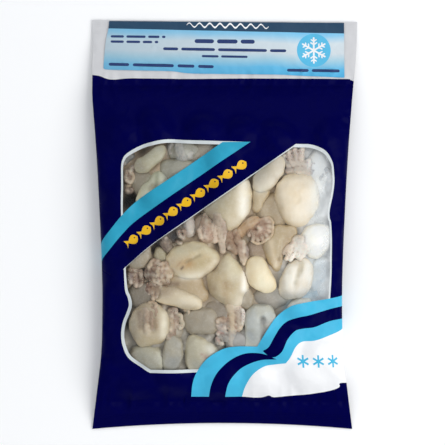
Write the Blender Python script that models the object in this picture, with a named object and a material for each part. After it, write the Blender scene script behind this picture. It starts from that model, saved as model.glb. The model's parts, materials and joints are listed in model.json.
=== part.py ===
"""A sealed pillow bag of frozen whole cuttlefish, lying on its back.

The bag is one closed solid: a filled body that bulges over the frozen pieces, a flat foot seal and a
flat header. A thin label lies on the header. Metres, +Z up, +Y towards the header, and the origin is
on the ground under the middle of the bag.
"""

import math

import bmesh
import bpy
import numpy as np

# Driving dimensions of the bag.
HALF_LENGTH = 0.16975
HALF_WIDTHS = (  # (distance up the bag, half its width there)
    (-0.16975, 0.1079),
    (-0.139, 0.1036),
    (-0.106, 0.0997),
    (-0.073, 0.0987),
    (0.013, 0.1011),
    (0.067, 0.1042),
    (0.116, 0.1080),
    (0.16975, 0.1100),
)
BODY_SHIFT = -0.002  # the body hangs a little to the left of the header
SHIFT_FROM, SHIFT_TO = 0.150, 0.100
FOOT_BOW = 0.0050  # how far the foot seal's edge arches up between its corners
HEADER_SLOPE = 0.0016  # how much lower the header's edge is on its right
EDGE_POWER = 8  # keeps both of those close to the ends

# Filled part of the bag, between the two flat ends.
FILL_BOTTOM, FILL_TOP = -0.146, 0.115
FILL_HEIGHT = 0.0370
SEAM_SHARE = 0.42  # height of the widest line round the side, as a share of the fill
END_HEIGHT = 0.0080  # where the flat ends leave the fill
TIP_HEIGHT = 0.0015  # their free edges, just off the ground
FLAP_THICKNESS = 0.0010
BASE_SPREAD = 1.20  # over 1, so that the underside is flat where it rests

# Rounding of the bulge, as the two powers of a mound: how square it is, and how steep at its rim.
FILL_ROUNDING = (4, 0.8)  # along the bag
ARCH_ROUNDING = (3, 0.5)  # across the upper film
BASE_ROUNDING = (4, 0.5)  # across the underside
SEAM_ROUNDING, BASE_END_ROUNDING = 0.8, 0.5  # powers of the fullness, for the widest line and the base

# The frozen pieces that press on the film where it is clear: middle, turn of the long axis in
# degrees, length, width, and how far the crest stands out of the bag's smooth bulge.
PIECES = (
    (0.0585, 0.0205, 94, 0.046, 0.036, 0.0040),
    (0.0032, 0.0180, 63, 0.047, 0.037, 0.0030),
    (0.0361, 0.0391, 46, 0.037, 0.017, 0.0015),
    (0.0274, 0.0192, 85, 0.021, 0.013, -0.0020),
    (0.0430, -0.0192, 90, 0.038, 0.023, 0.0005),
    (0.0740, -0.0130, 18, 0.030, 0.025, 0.0040),
    (0.0579, -0.0428, 80, 0.037, 0.027, 0.0030),
    (0.0299, -0.0404, 114, 0.031, 0.023, 0.0030),
    (0.0610, -0.0677, 0, 0.024, 0.021, 0.0005),
    (0.0274, -0.0751, 80, 0.032, 0.024, 0.0010),
    (-0.0247, -0.0292, 15, 0.041, 0.030, 0.0040),
    (-0.0353, -0.0590, 166, 0.040, 0.017, 0.0025),
    (-0.0254, -0.0515, 156, 0.032, 0.016, -0.0020),
    (0.0020, -0.0428, 97, 0.048, 0.036, 0.0040),
    (0.0206, -0.0590, 80, 0.021, 0.011, -0.0020),
    (-0.0179, -0.0776, 20, 0.032, 0.024, -0.0015),
    (0.0057, -0.0938, 60, 0.025, 0.018, -0.0015),
    (-0.0676, -0.0254, 55, 0.024, 0.018, 0.0010),
    (-0.0601, -0.0801, 95, 0.036, 0.033, 0.0040),
    (-0.0589, -0.1074, 100, 0.024, 0.023, 0.0015),
    (-0.0409, -0.1012, 92, 0.030, 0.018, 0.0010),
    (-0.0191, -0.1006, 130, 0.031, 0.027, 0.0030),
    (-0.0595, 0.0534, 36, 0.030, 0.015, 0.0015),
    (-0.0341, 0.0590, 150, 0.019, 0.014, 0.0000),
    (-0.0490, 0.0329, 45, 0.046, 0.029, 0.0020),
    (-0.0533, -0.0366, 60, 0.021, 0.019, 0.0010),
    (0.0268, -0.0031, 30, 0.024, 0.021, 0.0015),
    (0.0135, -0.0205, 120, 0.020, 0.013, 0.0000),
    (-0.0160, -0.0055, 30, 0.020, 0.014, 0.0005),
    (0.0790, 0.0290, 85, 0.030, 0.014, -0.0020),
)
# Pieces under the printed film, set out by a rule: spacing, size and how far their crests stand.
HIDDEN_SPACING = 0.034
HIDDEN_ROW = 0.87 * HIDDEN_SPACING
HIDDEN_COLUMNS = 3  # on each side of the middle one
HIDDEN_SHAKE = 0.2 * HIDDEN_SPACING
HIDDEN_SIZE = (0.034, 0.026)
HIDDEN_RISE = 0.0008
HIDDEN_CLEARANCE = 0.024  # to the nearest listed piece
HIDDEN_SEED = 7

# Film over the pieces: it drops between their crests, and no further than this.
PIECE_DEPTH = 0.0085  # crest to rim of a piece, along its height
FILM_SAG = 0.0070
FILM_PULL = 0.00035  # how hard each step draws the film in between the crests
FILM_STEPS = 120
FILM_SMOOTHING = 3
RELIEF_STEP = 0.0025
RELIEF_REACH = (0.112, 0.172)
HOLD_GAIN, HOLD_POWER = 1.25, 0.7  # how soon the relief starts, going in from the sides and the ends

# Facets of the bag, across and along.
BAG_CELLS = (40, 58)
FLAT_ANGLE = math.radians(0.1)  # facets of the base within this angle are one

# Header label.
LABEL_TOP_LEFT = (-0.0957, 0.1690)
LABEL_TOP_RIGHT = (0.0990, 0.1674)
LABEL_FOOT_RIGHT = (0.0988, 0.1210)
LABEL_FOOT_LEFT = (-0.0998, 0.1285)
LABEL_THICKNESS = 0.0005
LABEL_GAP = 0.0004
LABEL_CELLS = (28, 8)

COLLECTION = "cuttlefish_bag"


def smooth(t):
    t = np.clip(t, 0.0, 1.0)
    return t * t * (3 - 2 * t)


def half_width(y):
    """Half the bag's width at y, on a smooth curve through the stations."""
    at, width = np.array(HALF_WIDTHS).T
    slope = np.gradient(width, at)
    k = np.clip(np.searchsorted(at, y) - 1, 0, len(at) - 2)
    span = at[k + 1] - at[k]
    t = np.clip((y - at[k]) / span, 0.0, 1.0)
    return (
        width[k] * (1 + 2 * t) * (1 - t) ** 2
        + width[k + 1] * t * t * (3 - 2 * t)
        + span * (slope[k] * t * (1 - t) ** 2 + slope[k + 1] * t * t * (t - 1))
    )


def middle(y):
    """The bag's middle line."""
    return BODY_SHIFT * smooth((SHIFT_FROM - y) / (SHIFT_FROM - SHIFT_TO))


def mound(t, rounding):
    """1 at t = 0, falling to 0 at t = -1 and 1 and past them."""
    square, steep = rounding
    return np.clip(1 - np.abs(t) ** square, 0.0, 1.0) ** steep


def fullness(y):
    """1 at the middle of the fill, and 0 on the flat ends."""
    return mound((2 * y - FILL_TOP - FILL_BOTTOM) / (FILL_TOP - FILL_BOTTOM), FILL_ROUNDING)


def seam_height(y):
    """Height of the bag's widest line, which falls to the ground along the flat ends."""
    beyond = np.where(
        y > 0,
        (y - FILL_TOP) / (HALF_LENGTH - FILL_TOP),
        (FILL_BOTTOM - y) / (FILL_BOTTOM + HALF_LENGTH),
    )
    flap = END_HEIGHT + (TIP_HEIGHT - END_HEIGHT) * smooth(beyond)
    return flap + (SEAM_SHARE * FILL_HEIGHT - END_HEIGHT) * fullness(y) ** SEAM_ROUNDING


def hidden_pieces(rng):
    """Places of the pieces under the printed film, clear of the listed ones."""
    shown = np.array([piece[:2] for piece in PIECES])
    places = []
    for row in range(int((FILL_TOP - FILL_BOTTOM) / HIDDEN_ROW)):
        for column in range(-HIDDEN_COLUMNS, HIDDEN_COLUMNS + 1):
            x = (column + 0.5 * (row % 2)) * HIDDEN_SPACING + BODY_SHIFT
            y = FILL_BOTTOM + (row + 0.5) * HIDDEN_ROW
            x, y = np.array((x, y)) + rng.uniform(-HIDDEN_SHAKE, HIDDEN_SHAKE, 2)
            turn = rng.uniform(0, 180)
            if np.hypot(*(shown - (x, y)).T).min() > HIDDEN_CLEARANCE:
                places.append((x, y, turn, *HIDDEN_SIZE, HIDDEN_RISE))
    return places


def neighbours(grid):
    """Each knot's mean over the four beside it. The rim stays as it is."""
    mean = grid.copy()
    mean[1:-1, 1:-1] = (grid[:-2, 1:-1] + grid[2:, 1:-1] + grid[1:-1, :-2] + grid[1:-1, 2:]) / 4
    return mean


def film_relief():
    """Grid of how far the film stands out of the smooth bulge, as it lies over the pieces."""
    xs, ys = [np.arange(-reach, reach + RELIEF_STEP / 2, RELIEF_STEP) for reach in RELIEF_REACH]
    x, y = np.meshgrid(xs, ys)
    crests = np.full(x.shape, -FILM_SAG)
    hidden = hidden_pieces(np.random.default_rng(HIDDEN_SEED))
    for px, py, turn, length, width, rise in (*PIECES, *hidden):
        c, s = math.cos(math.radians(turn)), math.sin(math.radians(turn))
        along = ((x - px) * c + (y - py) * s) / (length / 2)
        across = ((y - py) * c - (x - px) * s) / (width / 2)
        inside = np.clip(1 - along**2 - across**2, 0.0, 1.0)
        crest = rise - PIECE_DEPTH * (1 - np.sqrt(inside))
        crests = np.maximum(crests, np.where(inside > 0, crest, -FILM_SAG))
    film = crests
    for _ in range(FILM_STEPS):
        film = np.maximum(crests, neighbours(film) - FILM_PULL)
    for _ in range(FILM_SMOOTHING):
        film = neighbours(film)
    return xs, ys, film


XS, YS, RELIEF = film_relief()


def relief(x, y):
    """The film's relief at points, read between the grid's knots."""
    i = np.clip((x - XS[0]) / RELIEF_STEP, 0, len(XS) - 1.001)
    j = np.clip((y - YS[0]) / RELIEF_STEP, 0, len(YS) - 1.001)
    i0, j0 = i.astype(int), j.astype(int)
    a, b = i - i0, j - j0
    low = RELIEF[j0, i0] * (1 - a) + RELIEF[j0, i0 + 1] * a
    high = RELIEF[j0 + 1, i0] * (1 - a) + RELIEF[j0 + 1, i0 + 1] * a
    return low * (1 - b) + high * b


def upper_film(x, y):
    """The shown side: an arch over the fill, with the pieces' relief on it, and flat at both ends."""
    arch = mound((x - middle(y)) / half_width(y), ARCH_ROUNDING)
    bulge = (1 - SEAM_SHARE) * FILL_HEIGHT * fullness(y) * arch
    hold = np.minimum(1.0, HOLD_GAIN * arch * fullness(y) ** HOLD_POWER)
    return seam_height(y) + bulge + relief(x, y) * hold + FLAP_THICKNESS / 2


def lower_film(x, y):
    """The underside: flat on the ground under the fill, and rising to the seam all round."""
    arch = mound((x - middle(y)) / half_width(y), BASE_ROUNDING)
    spread = BASE_SPREAD * arch * fullness(y) ** BASE_END_ROUNDING
    return np.maximum(0.0, (seam_height(y) - FLAP_THICKNESS / 2) * (1 - spread))


def bag_plan(u, v):
    """Where the point (u, v) of the flat bag, both from -1 to 1, lies seen from above."""
    y = v * HALF_LENGTH
    x = middle(y) + half_width(y) * u
    y = y + FOOT_BOW * (1 - u * u) * np.clip(-v, 0, 1) ** EDGE_POWER
    return x, y - HEADER_SLOPE * (u + 1) / 2 * np.clip(v, 0, 1) ** EDGE_POWER


def slab(name, cells, place, below, above):
    """A closed sheet: a grid extruded once, its plan and its two faces given by functions."""
    bm = bmesh.new()
    bmesh.ops.create_grid(bm, x_segments=cells[0], y_segments=cells[1], size=1.0)
    lower = list(bm.verts)
    made = bmesh.ops.extrude_face_region(bm, geom=list(bm.faces), use_keep_orig=True)
    upper = [item for item in made["geom"] if isinstance(item, bmesh.types.BMVert)]
    for verts, surface in ((lower, below), (upper, above)):
        u, v = np.array([vert.co[:2] for vert in verts]).T
        x, y = place(u, v)
        for vert, point in zip(verts, zip(x, y, surface(x, y))):
            vert.co = point
    bmesh.ops.recalc_face_normals(bm, faces=list(bm.faces))
    grounded = [vert for vert in bm.verts if vert.co.z == 0.0]
    edges = [edge for edge in bm.edges if all(vert.co.z == 0.0 for vert in edge.verts)]
    if grounded:
        bmesh.ops.dissolve_limit(bm, angle_limit=FLAT_ANGLE, verts=grounded, edges=edges)
    mesh = bpy.data.meshes.new(name)
    bm.to_mesh(mesh)
    bm.free()
    obj = bpy.data.objects.new(name, mesh)
    bpy.data.collections[COLLECTION].objects.link(obj)
    mesh.shade_smooth()
    return obj


def paint(obj, name, colour, roughness):
    material = bpy.data.materials.new(name)
    material.use_nodes = True
    shader = material.node_tree.nodes["Principled BSDF"]
    shader.inputs["Base Color"].default_value = (*colour, 1.0)
    shader.inputs["Roughness"].default_value = roughness
    shader.inputs["Metallic"].default_value = 0.0
    obj.data.materials.append(material)


def gathered(u):
    """Moves grid lines towards both sides, where the film turns down."""
    return np.sin(u * math.pi / 2)


def make_bag():
    bag = slab("bag", BAG_CELLS, lambda u, v: bag_plan(gathered(u), v), lower_film, upper_film)
    paint(bag, "printed_film", (0.0, 0.0, 0.06), 0.35)


def label_plan(u, v):
    """The label's corners, joined by straight edges."""
    s, t = (u[:, None] + 1) / 2, (v[:, None] + 1) / 2
    foot = np.array(LABEL_FOOT_LEFT) * (1 - s) + np.array(LABEL_FOOT_RIGHT) * s
    top = np.array(LABEL_TOP_LEFT) * (1 - s) + np.array(LABEL_TOP_RIGHT) * s
    return (foot * (1 - t) + top * t).T


def make_label():
    label = slab(
        "header_label",
        LABEL_CELLS,
        label_plan,
        lambda x, y: upper_film(x, y) + LABEL_GAP,
        lambda x, y: upper_film(x, y) + LABEL_GAP + LABEL_THICKNESS,
    )
    paint(label, "label_paper", (0.42, 0.68, 0.85), 0.5)


def main():
    for obj in list(bpy.data.objects):
        bpy.data.objects.remove(obj)
    collection = bpy.data.collections.new(COLLECTION)
    bpy.context.scene.collection.children.link(collection)
    make_bag()
    make_label()


main()
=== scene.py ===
"""A sealed bag of frozen whole cuttlefish, lying on its back: the printed film, the clear window and
what shows through it, the label on the header, and the seals at the back and the ends."""

import json
import math

import bmesh
import bpy
import numpy as np
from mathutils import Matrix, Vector
from mathutils.geometry import delaunay_2d_cdt
from mathutils.kdtree import KDTree

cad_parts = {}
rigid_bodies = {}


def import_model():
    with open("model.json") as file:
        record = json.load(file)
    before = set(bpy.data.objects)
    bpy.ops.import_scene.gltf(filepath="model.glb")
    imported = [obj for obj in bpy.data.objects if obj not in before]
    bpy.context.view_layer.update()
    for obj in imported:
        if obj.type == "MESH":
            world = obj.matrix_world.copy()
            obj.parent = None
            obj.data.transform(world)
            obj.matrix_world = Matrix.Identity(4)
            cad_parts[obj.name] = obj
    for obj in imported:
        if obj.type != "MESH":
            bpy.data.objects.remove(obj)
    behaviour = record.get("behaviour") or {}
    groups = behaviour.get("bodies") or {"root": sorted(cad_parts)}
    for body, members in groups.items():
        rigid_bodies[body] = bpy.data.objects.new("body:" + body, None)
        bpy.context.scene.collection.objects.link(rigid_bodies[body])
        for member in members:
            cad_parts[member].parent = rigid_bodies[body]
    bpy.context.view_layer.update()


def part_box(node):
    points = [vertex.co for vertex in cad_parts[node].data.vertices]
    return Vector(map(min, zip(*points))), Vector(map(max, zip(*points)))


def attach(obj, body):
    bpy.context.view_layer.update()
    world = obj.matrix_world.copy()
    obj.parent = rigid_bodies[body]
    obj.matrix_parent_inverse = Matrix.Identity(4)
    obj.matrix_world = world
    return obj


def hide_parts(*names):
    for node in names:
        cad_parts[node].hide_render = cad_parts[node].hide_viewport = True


for startup in list(bpy.data.objects):
    bpy.data.objects.remove(startup)
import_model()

# Camera.
# The bag faced the photographer upright. It lies on its back here, so the camera looks straight down,
# with the header at the top of the picture.
VIEW_MIDDLE = (-0.0018, 0.00166)
VIEW_WIDTH = 0.369  # of what fills the picture at the header's height
HEADER_LEVEL = 0.0035
CAMERA_HEIGHT = 1.54


def put_down(name, data):
    """A new object in the scene."""
    made = bpy.data.objects.new(name, data)
    bpy.context.scene.collection.objects.link(made)
    return made


camera = put_down("camera", bpy.data.cameras.new("camera"))
camera.location = (*VIEW_MIDDLE, CAMERA_HEIGHT)
camera.data.lens = camera.data.sensor_width * (CAMERA_HEIGHT - HEADER_LEVEL) / VIEW_WIDTH
camera.data.clip_start, camera.data.clip_end = 0.1, 10.0
bpy.context.scene.camera = camera

# Form of the bag.
# A tube of film, sealed flat at both ends and filled with about thirty pieces that show and more that
# don't. Laid down, it bulges to 37 mm, and the film drops between the frozen pieces that press on it.
low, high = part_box("bag")
HALF_LENGTH = (high.y - low.y) / 2
HALF_WIDTHS = (  # (distance up the bag, half its width there)
    (-0.16975, 0.1079), (-0.139, 0.1036), (-0.106, 0.0997), (-0.073, 0.0987),
    (0.013, 0.1011), (0.067, 0.1042), (0.116, 0.1080), (0.16975, 0.1100),
)
BODY_SHIFT = -0.002
SHIFT_FROM, SHIFT_TO = 0.150, 0.100
FOOT_BOW, HEADER_SLOPE, EDGE_POWER = 0.0050, 0.0016, 8
FILL_BOTTOM, FILL_TOP = -0.146, 0.115
FILL_HEIGHT, SEAM_SHARE = 0.0370, 0.42
END_HEIGHT, TIP_HEIGHT = 0.0080, 0.0015
BASE_SPREAD = 1.20
FILL_ROUNDING, ARCH_ROUNDING, BASE_ROUNDING = (4, 0.8), (3, 0.5), (4, 0.5)
SEAM_ROUNDING, BASE_END_ROUNDING = 0.8, 0.5
FILM_LIFT = 0.0005  # half the thickness of the solid's flat ends

# Each piece that presses on the film: its middle, the way its head points in degrees, its length and
# width, and how far its crest stands out of the bag's smooth bulge, in millimetres.
PIECES = (
    (58.5, 20.5, 94, 46, 36, 4), (3.2, 18, -117, 47, 37, 3), (36.1, 39.1, 46, 37, 17, 1.5),
    (27.4, 19.2, 85, 21, 13, -2), (43, -19.2, 90, 38, 23, 0.5), (74, -13, 198, 30, 25, 4),
    (57.9, -42.8, 80, 37, 27, 3), (29.9, -40.4, 114, 31, 23, 3), (61, -67.7, 0, 24, 21, 0.5),
    (27.4, -75.1, 80, 32, 24, 1), (-24.7, -29.2, 195, 41, 30, 4), (-35.3, -59, 166, 40, 17, 2.5),
    (-25.4, -51.5, 156, 32, 16, -2), (2, -42.8, -83, 48, 36, 4), (20.6, -59, 80, 21, 11, -2),
    (-17.9, -77.6, 20, 32, 24, -1.5), (5.7, -93.8, 60, 25, 18, -1.5), (-67.6, -25.4, 55, 24, 18, 1),
    (-60.1, -80.1, 95, 36, 33, 4), (-58.9, -107.4, 100, 24, 23, 1.5), (-40.9, -101.2, 92, 30, 18, 1),
    (-19.1, -100.6, 130, 31, 27, 3), (-59.5, 53.4, 216, 30, 15, 1.5), (-34.1, 59, 150, 19, 14, 0),
    (-49, 32.9, 45, 46, 29, 2), (-53.3, -36.6, 60, 21, 19, 1), (26.8, -3.1, 30, 24, 21, 1.5),
    (13.5, -20.5, 120, 20, 13, 0), (-16, -5.5, 30, 20, 14, 0.5), (79, 29, 85, 30, 14, -2),
)
PIECE_UNITS = (1000, 1000, 1, 1000, 1000, 1000)
HIDDEN_SPACING = 0.034
HIDDEN_ROW = 0.87 * HIDDEN_SPACING
HIDDEN_COLUMNS = 3
HIDDEN_SHAKE = 0.2 * HIDDEN_SPACING
HIDDEN_SIZE = (0.034, 0.026)
HIDDEN_RISE, HIDDEN_CLEARANCE, HIDDEN_SEED = 0.0008, 0.024, 7
PIECE_DEPTH, FILM_SAG, FILM_PULL = 0.0085, 0.0070, 0.00035
FILM_STEPS, FILM_SMOOTHING = 120, 3
RELIEF_STEP, RELIEF_REACH = 0.0025, (0.112, 0.172)
HOLD_GAIN, HOLD_POWER = 1.25, 0.7


def smooth(t):
    t = np.clip(t, 0.0, 1.0)
    return t * t * (3 - 2 * t)


def half_width(y):
    at, width = np.array(HALF_WIDTHS).T
    slope = np.gradient(width, at)
    k = np.clip(np.searchsorted(at, y) - 1, 0, len(at) - 2)
    span = at[k + 1] - at[k]
    t = np.clip((y - at[k]) / span, 0.0, 1.0)
    return (
        width[k] * (1 + 2 * t) * (1 - t) ** 2
        + width[k + 1] * t * t * (3 - 2 * t)
        + span * (slope[k] * t * (1 - t) ** 2 + slope[k + 1] * t * t * (t - 1))
    )


def middle(y):
    return BODY_SHIFT * smooth((SHIFT_FROM - y) / (SHIFT_FROM - SHIFT_TO))


def mound(t, rounding):
    """1 at t = 0, falling to 0 at t = -1 and 1 and past them."""
    square, steep = rounding
    return np.clip(1 - np.abs(t) ** square, 0.0, 1.0) ** steep


def arch(x, y, rounding=ARCH_ROUNDING):
    return mound((x - middle(y)) / half_width(y), rounding)


def fullness(y):
    return mound((2 * y - FILL_TOP - FILL_BOTTOM) / (FILL_TOP - FILL_BOTTOM), FILL_ROUNDING)


def seam_height(y):
    """Height of the fold at each side, which falls to the ground along the flat ends."""
    beyond = np.where(
        y > 0,
        (y - FILL_TOP) / (HALF_LENGTH - FILL_TOP),
        (FILL_BOTTOM - y) / (FILL_BOTTOM + HALF_LENGTH),
    )
    flap = END_HEIGHT + (TIP_HEIGHT - END_HEIGHT) * smooth(beyond)
    return flap + (SEAM_SHARE * FILL_HEIGHT - END_HEIGHT) * fullness(y) ** SEAM_ROUNDING


def hidden_pieces(shown, rng):
    """Pieces under the print, wherever none is shown near."""
    places = []
    for row in range(int((FILL_TOP - FILL_BOTTOM) / HIDDEN_ROW)):
        for column in range(-HIDDEN_COLUMNS, HIDDEN_COLUMNS + 1):
            x = (column + 0.5 * (row % 2)) * HIDDEN_SPACING + BODY_SHIFT
            y = FILL_BOTTOM + (row + 0.5) * HIDDEN_ROW
            x, y = np.array((x, y)) + rng.uniform(-HIDDEN_SHAKE, HIDDEN_SHAKE, 2)
            turn = rng.uniform(0, 180)
            if np.hypot(*(shown - (x, y)).T).min() > HIDDEN_CLEARANCE:
                places.append((x, y, turn, *HIDDEN_SIZE, HIDDEN_RISE))
    return places


def neighbours(grid):
    mean = grid.copy()
    mean[1:-1, 1:-1] = (grid[:-2, 1:-1] + grid[2:, 1:-1] + grid[1:-1, :-2] + grid[1:-1, 2:]) / 4
    return mean


def bag_grid(step):
    """Places of a grid's columns and rows over the bag."""
    return [np.arange(-reach, reach + step / 2, step) for reach in RELIEF_REACH]


def film_relief():
    """Grid of how far the film stands out of the smooth bulge, as it lies over the pieces."""
    xs, ys = bag_grid(RELIEF_STEP)
    x, y = np.meshgrid(xs, ys)
    crests = np.full(x.shape, -FILM_SAG)
    shown = np.array(PIECES) / PIECE_UNITS
    hidden = hidden_pieces(shown[:, :2], np.random.default_rng(HIDDEN_SEED))
    for px, py, turn, length, width, rise in (*shown, *hidden):
        c, s = math.cos(math.radians(turn)), math.sin(math.radians(turn))
        along = ((x - px) * c + (y - py) * s) / (length / 2)
        across = ((y - py) * c - (x - px) * s) / (width / 2)
        inside = np.clip(1 - along**2 - across**2, 0.0, 1.0)
        crest = rise - PIECE_DEPTH * (1 - np.sqrt(inside))
        crests = np.maximum(crests, np.where(inside > 0, crest, -FILM_SAG))
    film = crests
    for _ in range(FILM_STEPS):
        film = np.maximum(crests, neighbours(film) - FILM_PULL)
    for _ in range(FILM_SMOOTHING):
        film = neighbours(film)
    return xs, ys, film


RELIEF = film_relief()


def cubic_weights(t):
    """Catmull-Rom weights of the four knots round a point t past the second."""
    return (
        (-t + 2 * t**2 - t**3) / 2,
        (2 - 5 * t**2 + 3 * t**3) / 2,
        (t + 4 * t**2 - 3 * t**3) / 2,
        (-(t**2) + t**3) / 2,
    )


def on_grid(grid, x, y, weights=cubic_weights):
    """The value of a grid of the bag at any place, between its knots."""
    xs, ys, values = grid
    step = xs[1] - xs[0]
    i, j = np.clip((x - xs[0]) / step, 1, len(xs) - 2.001), np.clip((y - ys[0]) / step, 1, len(ys) - 2.001)
    i0, j0 = i.astype(int), j.astype(int)
    total = np.zeros_like(i)
    for m, down in enumerate(weights(j - j0)):
        for n, along in enumerate(weights(i - i0)):
            total += down * along * values[j0 + m - 1, i0 + n - 1]
    return total


def bulge(x, y):
    """Height of the bag's smooth bulge, without its pieces."""
    return seam_height(y) + (1 - SEAM_SHARE) * FILL_HEIGHT * fullness(y) * arch(x, y)


def upper_film(x, y):
    """Height of the shown side: an arch over the fill, with the pieces' relief on it."""
    hold = np.minimum(1.0, HOLD_GAIN * arch(x, y) * fullness(y) ** HOLD_POWER)
    return bulge(x, y) + on_grid(RELIEF, x, y) * hold + FILM_LIFT


def lower_film(x, y):
    """Height of the underside: flat on the ground under the fill, and rising to the fold all round."""
    spread = BASE_SPREAD * arch(x, y, BASE_ROUNDING) * fullness(y) ** BASE_END_ROUNDING
    return np.maximum(0.0, (seam_height(y) - FILM_LIFT) * (1 - spread))


# Printed film.
# The front of the tube: clear plastic film printed dark blue, with a teal stripe, two light blue waves
# and a white corner over a clear window. It is cut along each print's outline and laid over the pieces.
SHEET_SPACING = 0.0014
OUTLINE_SPACING = 0.0013
SHEET_EPSILON = 1e-7
NEAR_OUTLINE = 0.55  # of the spacing: a knot nearer to an outline than this is left out
ROLL_KNOTS = 4001
RIM_POWER, END_POWER = 40, 80  # how near the folds and the ends the two films close
ROLL_WIDTH = 0.1015  # half the filled bag's width, for working out how far the film is round

across = np.linspace(0, 1, ROLL_KNOTS)
rise_over = (1 - SEAM_SHARE) * FILL_HEIGHT * mound(across, ARCH_ROUNDING)
steps_round = np.hypot(np.diff(across * ROLL_WIDTH), np.diff(rise_over))
ROUND = np.concatenate([[0.0], np.cumsum(steps_round)])
HALF_ROUND = ROUND[-1]  # from the middle line of the film to the fold at its side


def rolled(p):
    """Share of the half width at which the point p of the flat film comes to lie."""
    return np.sign(p) * np.interp(np.abs(p), ROUND, across)


def unrolled(u):
    return np.sign(u) * np.interp(np.abs(u), across, ROUND)


def bag_plan(u, q):
    """Where a point lies seen from above: a share u of the way to the fold, and q up the bag."""
    v = q / HALF_LENGTH
    x = middle(q) + half_width(q) * u
    y = q + FOOT_BOW * (1 - u * u) * np.clip(-v, 0, 1) ** EDGE_POWER
    return x, y - HEADER_SLOPE * (u + 1) / 2 * np.clip(v, 0, 1) ** EDGE_POWER


def ripple(x, y, size, seed, count=14):
    """Soft random waves of about this size, with a spread of 1."""
    rng = np.random.default_rng(seed)
    total = np.zeros_like(x)
    for _ in range(count):
        turn, phase = rng.uniform(0, 2 * math.pi, 2)
        pitch = 2 * math.pi / (size * rng.uniform(0.7, 1.5))
        total += np.sin(pitch * (x * math.cos(turn) + y * math.sin(turn)) + phase)
    return total / math.sqrt(count / 2)


CREASED_FOLD = (0.80, 0.16)  # the puckers along the side folds: from this share of the way, and over this
CREASED_HEADER, CREASED_FOOT = (0.1165, 0.0085), (-0.1440, 0.0100)  # creased across the film: place, reach
GATHERS, PUCKERS, CRUMPLES, SLACK = 0.00085, 0.00050, 0.00016, 0.00022  # heights of the creases


def creases(p, q):
    """Height of the film's own creases at the points of the flat film."""
    side = smooth((np.abs(p) / HALF_ROUND - CREASED_FOLD[0]) / CREASED_FOLD[1])
    ends = sum(np.exp(-(((q - place) / reach) ** 2)) for place, reach in (CREASED_HEADER, CREASED_FOOT))
    filled = smooth((fullness(q) - 0.05) / 0.3)
    gathered = -np.abs(ripple(p, q * 0.22, 0.0150, 11))
    puckered = -np.abs(ripple(p * 0.35, q, 0.0130, 12))
    crumpled = -np.abs(ripple(p, q, 0.0210, 13)) - 0.5 * np.abs(ripple(p, q, 0.0090, 14))
    return (
        GATHERS * ends * (gathered + 0.6)
        + PUCKERS * side * filled * (puckered + 0.6)
        + CRUMPLES * (crumpled + 1.0)
        + SLACK * (1 - filled) * ripple(p, q, 0.0300, 15)
    )


def from_rim(u, q):
    """1 over the film, falling to 0 along its folds and ends, where front and back meet."""
    sides = 1 - np.clip(np.abs(u), 0, 1) ** RIM_POWER
    return sides * (1 - np.clip(np.abs(q) / HALF_LENGTH, 0, 1) ** END_POWER)


def film_height(x, y, q=None):
    """Height of the film with its creases, at points seen from above."""
    u = np.clip((x - middle(y)) / half_width(y), -1, 1)
    rim = from_rim(u, y if q is None else q)
    return upper_film(x, y) - FILM_LIFT * (1 - rim) + creases(unrolled(u), y) * rim


def through(*points, spacing=OUTLINE_SPACING):
    """A smooth line through points given in millimetres."""
    knots = np.array(points, float) / 1000
    ends = np.concatenate([[2 * knots[0] - knots[1]], knots, [2 * knots[-1] - knots[-2]]])
    line = [knots[:1]]
    for before, start, stop, after in zip(ends, ends[1:], ends[2:], ends[3:]):
        count = max(1, round(math.dist(start, stop) / spacing))
        t = np.arange(1, count + 1)[:, None] / count
        line.append(sum(w * k for w, k in zip(cubic_weights(t), (before, start, stop, after))))
    return np.concatenate(line)


def straight(*points, spacing=OUTLINE_SPACING):
    """Straight runs between points given in millimetres."""
    return np.concatenate([through(a, b, spacing=spacing) for a, b in zip(points, points[1:])])


def closed(*runs):
    """One closed outline out of runs that follow each other, with corners where they meet."""
    line = np.concatenate(runs)
    return line[np.linalg.norm(line - np.roll(line, 1, 0), axis=1) > SHEET_EPSILON * 10]


def inside(points, outline):
    x, y = points.T
    found = np.zeros(len(points), bool)
    for (x1, y1), (x2, y2) in zip(outline, np.roll(outline, -1, 0)):
        crossed = (y1 > y) != (y2 > y)
        if y1 != y2:
            found ^= crossed & (x < (x2 - x1) * (y - y1) / (y2 - y1) + x1)
    return found


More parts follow.
